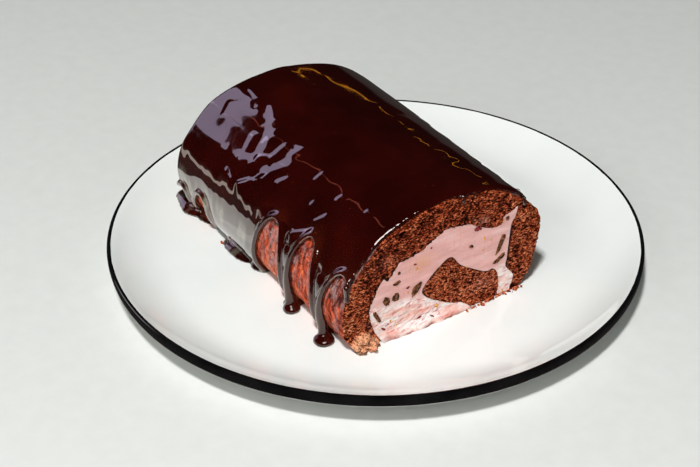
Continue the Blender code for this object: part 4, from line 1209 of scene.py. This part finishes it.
def netSurface(values, origin, step):
    # a quad mesh through the places where the values change sign, one point for each cell they cross
    inside = values < 0
    corners = [(i, j, k) for i in (0, 1) for j in (0, 1) for k in (0, 1)]
    n = [s - 1 for s in values.shape]

    def shifted(grid, c):
        return grid[c[0]:c[0] + n[0], c[1]:c[1] + n[1], c[2]:c[2] + n[2]]
    count = sum(shifted(inside, c).astype(np.int8) for c in corners)
    cells = np.argwhere((count > 0) & (count < 8))
    index = np.full(n, -1)
    index[tuple(cells.T)] = np.arange(len(cells))
    total, hits = np.zeros((len(cells), 3)), np.zeros(len(cells))
    for a in corners:
        for axis in range(3):
            if a[axis]:
                continue
            b = tuple(a[i] + (i == axis) for i in range(3))
            va = values[tuple((cells + a).T)]
            vb = values[tuple((cells + b).T)]
            crossed = (va < 0) != (vb < 0)
            t = va[crossed] / (va[crossed] - vb[crossed])
            spot = np.tile(np.array(a, float), (len(t), 1))
            spot[:, axis] += t
            total[crossed] += spot
            hits[crossed] += 1
    verts = np.array(origin) + step * (cells + total / hits[:, None])
    faces = []
    for axis in range(3):
        u, v = (axis + 1) % 3, (axis + 2) % 3
        first = [slice(None)] * 3
        second = [slice(None)] * 3
        first[axis], second[axis] = slice(0, -1), slice(1, None)
        here, there = inside[tuple(first)], inside[tuple(second)]
        edges = np.argwhere(here != there)
        keep = (edges[:, u] > 0) & (edges[:, v] > 0) & (edges[:, u] < n[u]) & (edges[:, v] < n[v])
        edges = edges[keep]
        flip = here[tuple(edges.T)]
        quad = []
        for du, dv in ((1, 1), (0, 1), (0, 0), (1, 0)):
            cell = edges.copy()
            cell[:, u] -= du
            cell[:, v] -= dv
            quad.append(index[tuple(cell.T)])
        quad = np.stack(quad, 1)
        quad[~flip] = quad[~flip][:, ::-1]
        faces.append(quad)
    return verts, np.vstack(faces)


def glazeMaterial():
    # Mirror glaze: cocoa, sugar and gelatine, poured warm and set. Nearly black with red in its depth,
    # as bright as lacquer, browner where it is thin, and with tiny bubbles caught near its surface, whose specks are
    # painted lighter to stand for the warm glints they catch.
    made, tree, shader, coords = newMaterial("chocolate mirror glaze", {
        "Roughness": 0.05, "IOR": 1.9, "Specular Tint": "#FFE9D4", "Coat Weight": 1.0,
        "Coat Roughness": 0.02, "Coat IOR": 2.1})
    thin = addNode(tree, "Attribute", {"attribute_name": "thin"})
    cloud = addNode(tree, "TexNoise", {"Scale": perMm(30), "Detail": 3.0}, {"Vector": (coords, "Object")})
    tone = addNode(tree, "ValToRGB", {"ramp": [(0.35, "#220201"), (0.6, "#2C0402"), (0.75, "#360703")]},
                   {"Fac": (cloud, "Fac")})
    bubbles = addNode(tree, "TexVoronoi", {"Scale": perMm(8)}, {"Vector": (coords, "Object")})
    dot = addNode(tree, "MapRange", {"From Min": 0.02, "From Max": 0.05, "To Min": 0.8, "To Max": 0.0},
                  {"Value": (bubbles, "Distance")})
    # painted reflection: the bubbles' specks are a lighter red-brown, standing for the warm glints they catch
    specked = addNode(tree, "Mix", {"data_type": "RGBA", 7: "#7A2A12"}, {0: (dot, 0), 6: (tone, 0)})
    thinned = addNode(tree, "Mix", {"data_type": "RGBA", 7: "#421408"}, {0: (thin, "Fac"), 6: (specked, 2)})
    milky = addNode(tree, "Attribute", {"attribute_name": "milky"})  # painted reflection: pale streaks standing for the plate's sheen mirrored on the low left sheet
    sheenPainted = addNode(tree, "Mix", {"data_type": "RGBA", 7: "#8A8779"}, {0: (milky, "Fac"), 6: (thinned, 2)})
    tree.links.new(sheenPainted.outputs[2], shader.inputs["Base Color"])
    wave = addNode(tree, "TexNoise", {"Scale": perMm(5), "Detail": 1.5}, {"Vector": (coords, "Object")})
    height = addNode(tree, "Math", {"operation": "MULTIPLY_ADD", 1: 1.2}, {0: (dot, 0), 2: (wave, "Fac")})
    bump = addNode(tree, "Bump", {"Strength": 0.05, "Distance": 0.0004}, {"Height": (height, 0)})
    tree.links.new(bump.outputs[0], shader.inputs["Normal"])
    return made


def runMaterial():
    # The same glaze where it ran: it cooled on the way, and set with less shine.
    made, tree, shader, coords = newMaterial("mirror glaze, set in runs", {
        "Roughness": 0.07, "IOR": 1.5, "Specular Tint": "#FFDCC0", "Coat Weight": 1.0,
        "Coat Roughness": 0.03, "Coat IOR": 1.6})
    cloud = addNode(tree, "TexNoise", {"Scale": perMm(7), "Detail": 3.0}, {"Vector": (coords, "Object")})
    tone = addNode(tree, "ValToRGB", {"ramp": [(0.35, "#220302"), (0.6, "#2C0604"), (0.75, "#380A05")]},
                   {"Fac": (cloud, "Fac")})
    tree.links.new(tone.outputs["Color"], shader.inputs["Base Color"])
    bump = addNode(tree, "Bump", {"Strength": 0.05, "Distance": 0.0004}, {"Height": (cloud, "Fac")})
    tree.links.new(bump.outputs[0], shader.inputs["Normal"])
    return made


def sawnMaterial():
    # The same glaze where the knife went through it: dragged, so dull and a little crumbed.
    made, tree, shader, coords = newMaterial("sawn edge of the glaze", {
        "Roughness": 0.45, "IOR": 1.45, "Specular IOR Level": 0.35})
    drag = addNode(tree, "TexNoise", {"Scale": perMm(1.5), "Detail": 5.0}, {"Vector": (coords, "Object")})
    tone = addNode(tree, "ValToRGB", {"ramp": [(0.4, "#240603"), (0.62, "#3C1209"), (0.75, "#6B3322")]},
                   {"Fac": (drag, "Fac")})
    tree.links.new(tone.outputs[0], shader.inputs["Base Color"])
    bump = addNode(tree, "Bump", {"Strength": 0.6, "Distance": 0.0005}, {"Height": (drag, "Fac")})
    tree.links.new(bump.outputs[0], shader.inputs["Normal"])
    return made


def slideOn(verts, rounds):
    # each point slides on to the glaze's true surface
    for turn in range(rounds):
        field = glazeField(verts)
        slope = np.zeros_like(verts)
        for axis in range(3):
            nudge = np.zeros(3)
            nudge[axis] = 0.08
            slope[:, axis] = (glazeField(verts + nudge) - glazeField(verts - nudge)) / 0.16
        size = np.maximum(np.sum(slope**2, 1), 0.25)
        verts = verts + np.clip(-field[:, None] * slope / size[:, None], -0.4, 0.4)
    return verts


def buildGlaze():
    step = glaze["step"]
    low = np.array([-106.0, -73.0, 7.2])
    high = np.array([73.0, 58.5, 79.0])
    counts = np.ceil((high - low) / step).astype(int) + 1
    axes = [low[i] + step * np.arange(counts[i]) for i in range(3)]
    values = np.zeros(counts)
    for i, x in enumerate(axes[0]):  # slice by slice, to keep the memory small
        y, z = np.meshgrid(axes[1], axes[2], indexing="ij")
        points = np.stack([np.full(y.size, x), y.ravel(), z.ravel()], 1)
        values[i] = glazeField(points).reshape(y.shape)
    verts, faces = netSurface(values, low, step)
    piece = meshPiece("pouredGlaze", slideOn(verts, 3) * mm, faces, [glazeMaterial(), sawnMaterial(), runMaterial()])
    # finer faces where it turns over the knife's edge, for a clean highlight
    makeActive(piece)
    bpy.ops.object.mode_set(mode="EDIT")
    bpy.ops.mesh.select_mode(type="FACE")
    bpy.ops.mesh.select_all(action="DESELECT")
    bpy.ops.object.mode_set(mode="OBJECT")
    verts = readPoints(piece)
    depth = depthTable.read(verts[:, 1] - roll["middleY"], verts[:, 2] - plate["floorHeight"])
    turning = (verts[:, 0] > roll["frontX"] - 4.5) & (depth > 0.4) & (verts[:, 2] > 38)
    for face in piece.data.polygons:
        face.select = all(turning[i] for i in face.vertices)
    bpy.ops.object.mode_set(mode="EDIT")
    bpy.ops.mesh.subdivide(number_cuts=1, ngon=False)
    bpy.ops.object.mode_set(mode="OBJECT")
    verts = slideOn(readPoints(piece), 2)
    writePoints(piece, verts)
    across, up = verts[:, 1] - roll["middleY"], verts[:, 2] - plate["floorHeight"]
    opening = np.where(across < 0, openings[-1].read(verts[:, 0], up), openings[1].read(verts[:, 0], up))
    writeMark(piece, "thin", np.where((np.abs(across) > 30) & (opening > 0), np.exp(-opening / 3), 0))
    arc = arcTable.read(across, up)
    # painted reflection: pale streaks low on the left side of the coat, where it mirrors the plate
    streak = np.clip(0.15 + softNoise(np.stack([verts[:, 0], arc * 0.22], 1), 3.6, 91), 0, 1.3)
    low = np.clip((arc - 12) / 6, 0, 1) * np.clip((38 - arc) / 6, 0, 1) * np.clip((-12 - verts[:, 0]) / 8, 0, 1)
    writeMark(piece, "milky", 0.55 * streak * low * (across < 0))
    sawn = [face.index for face in piece.data.polygons
            if face.center.x > (roll["frontX"] - 1.1) * mm and face.normal.x > 0.8]
    for index in sawn:
        piece.data.polygons[index].material_index = 1
    for face in piece.data.polygons:
        x, y, z = face.center / mm
        if face.material_index == 0 and y < -50 and x > -11 and z < 50 - 0.12 * x:
            face.material_index = 2
    finishPiece(piece, ["glaze"])
    lightOnly("glazeLight", piece, [name for name in studio["lamps"] if name not in studio["plainLamps"]])


buildGlaze()
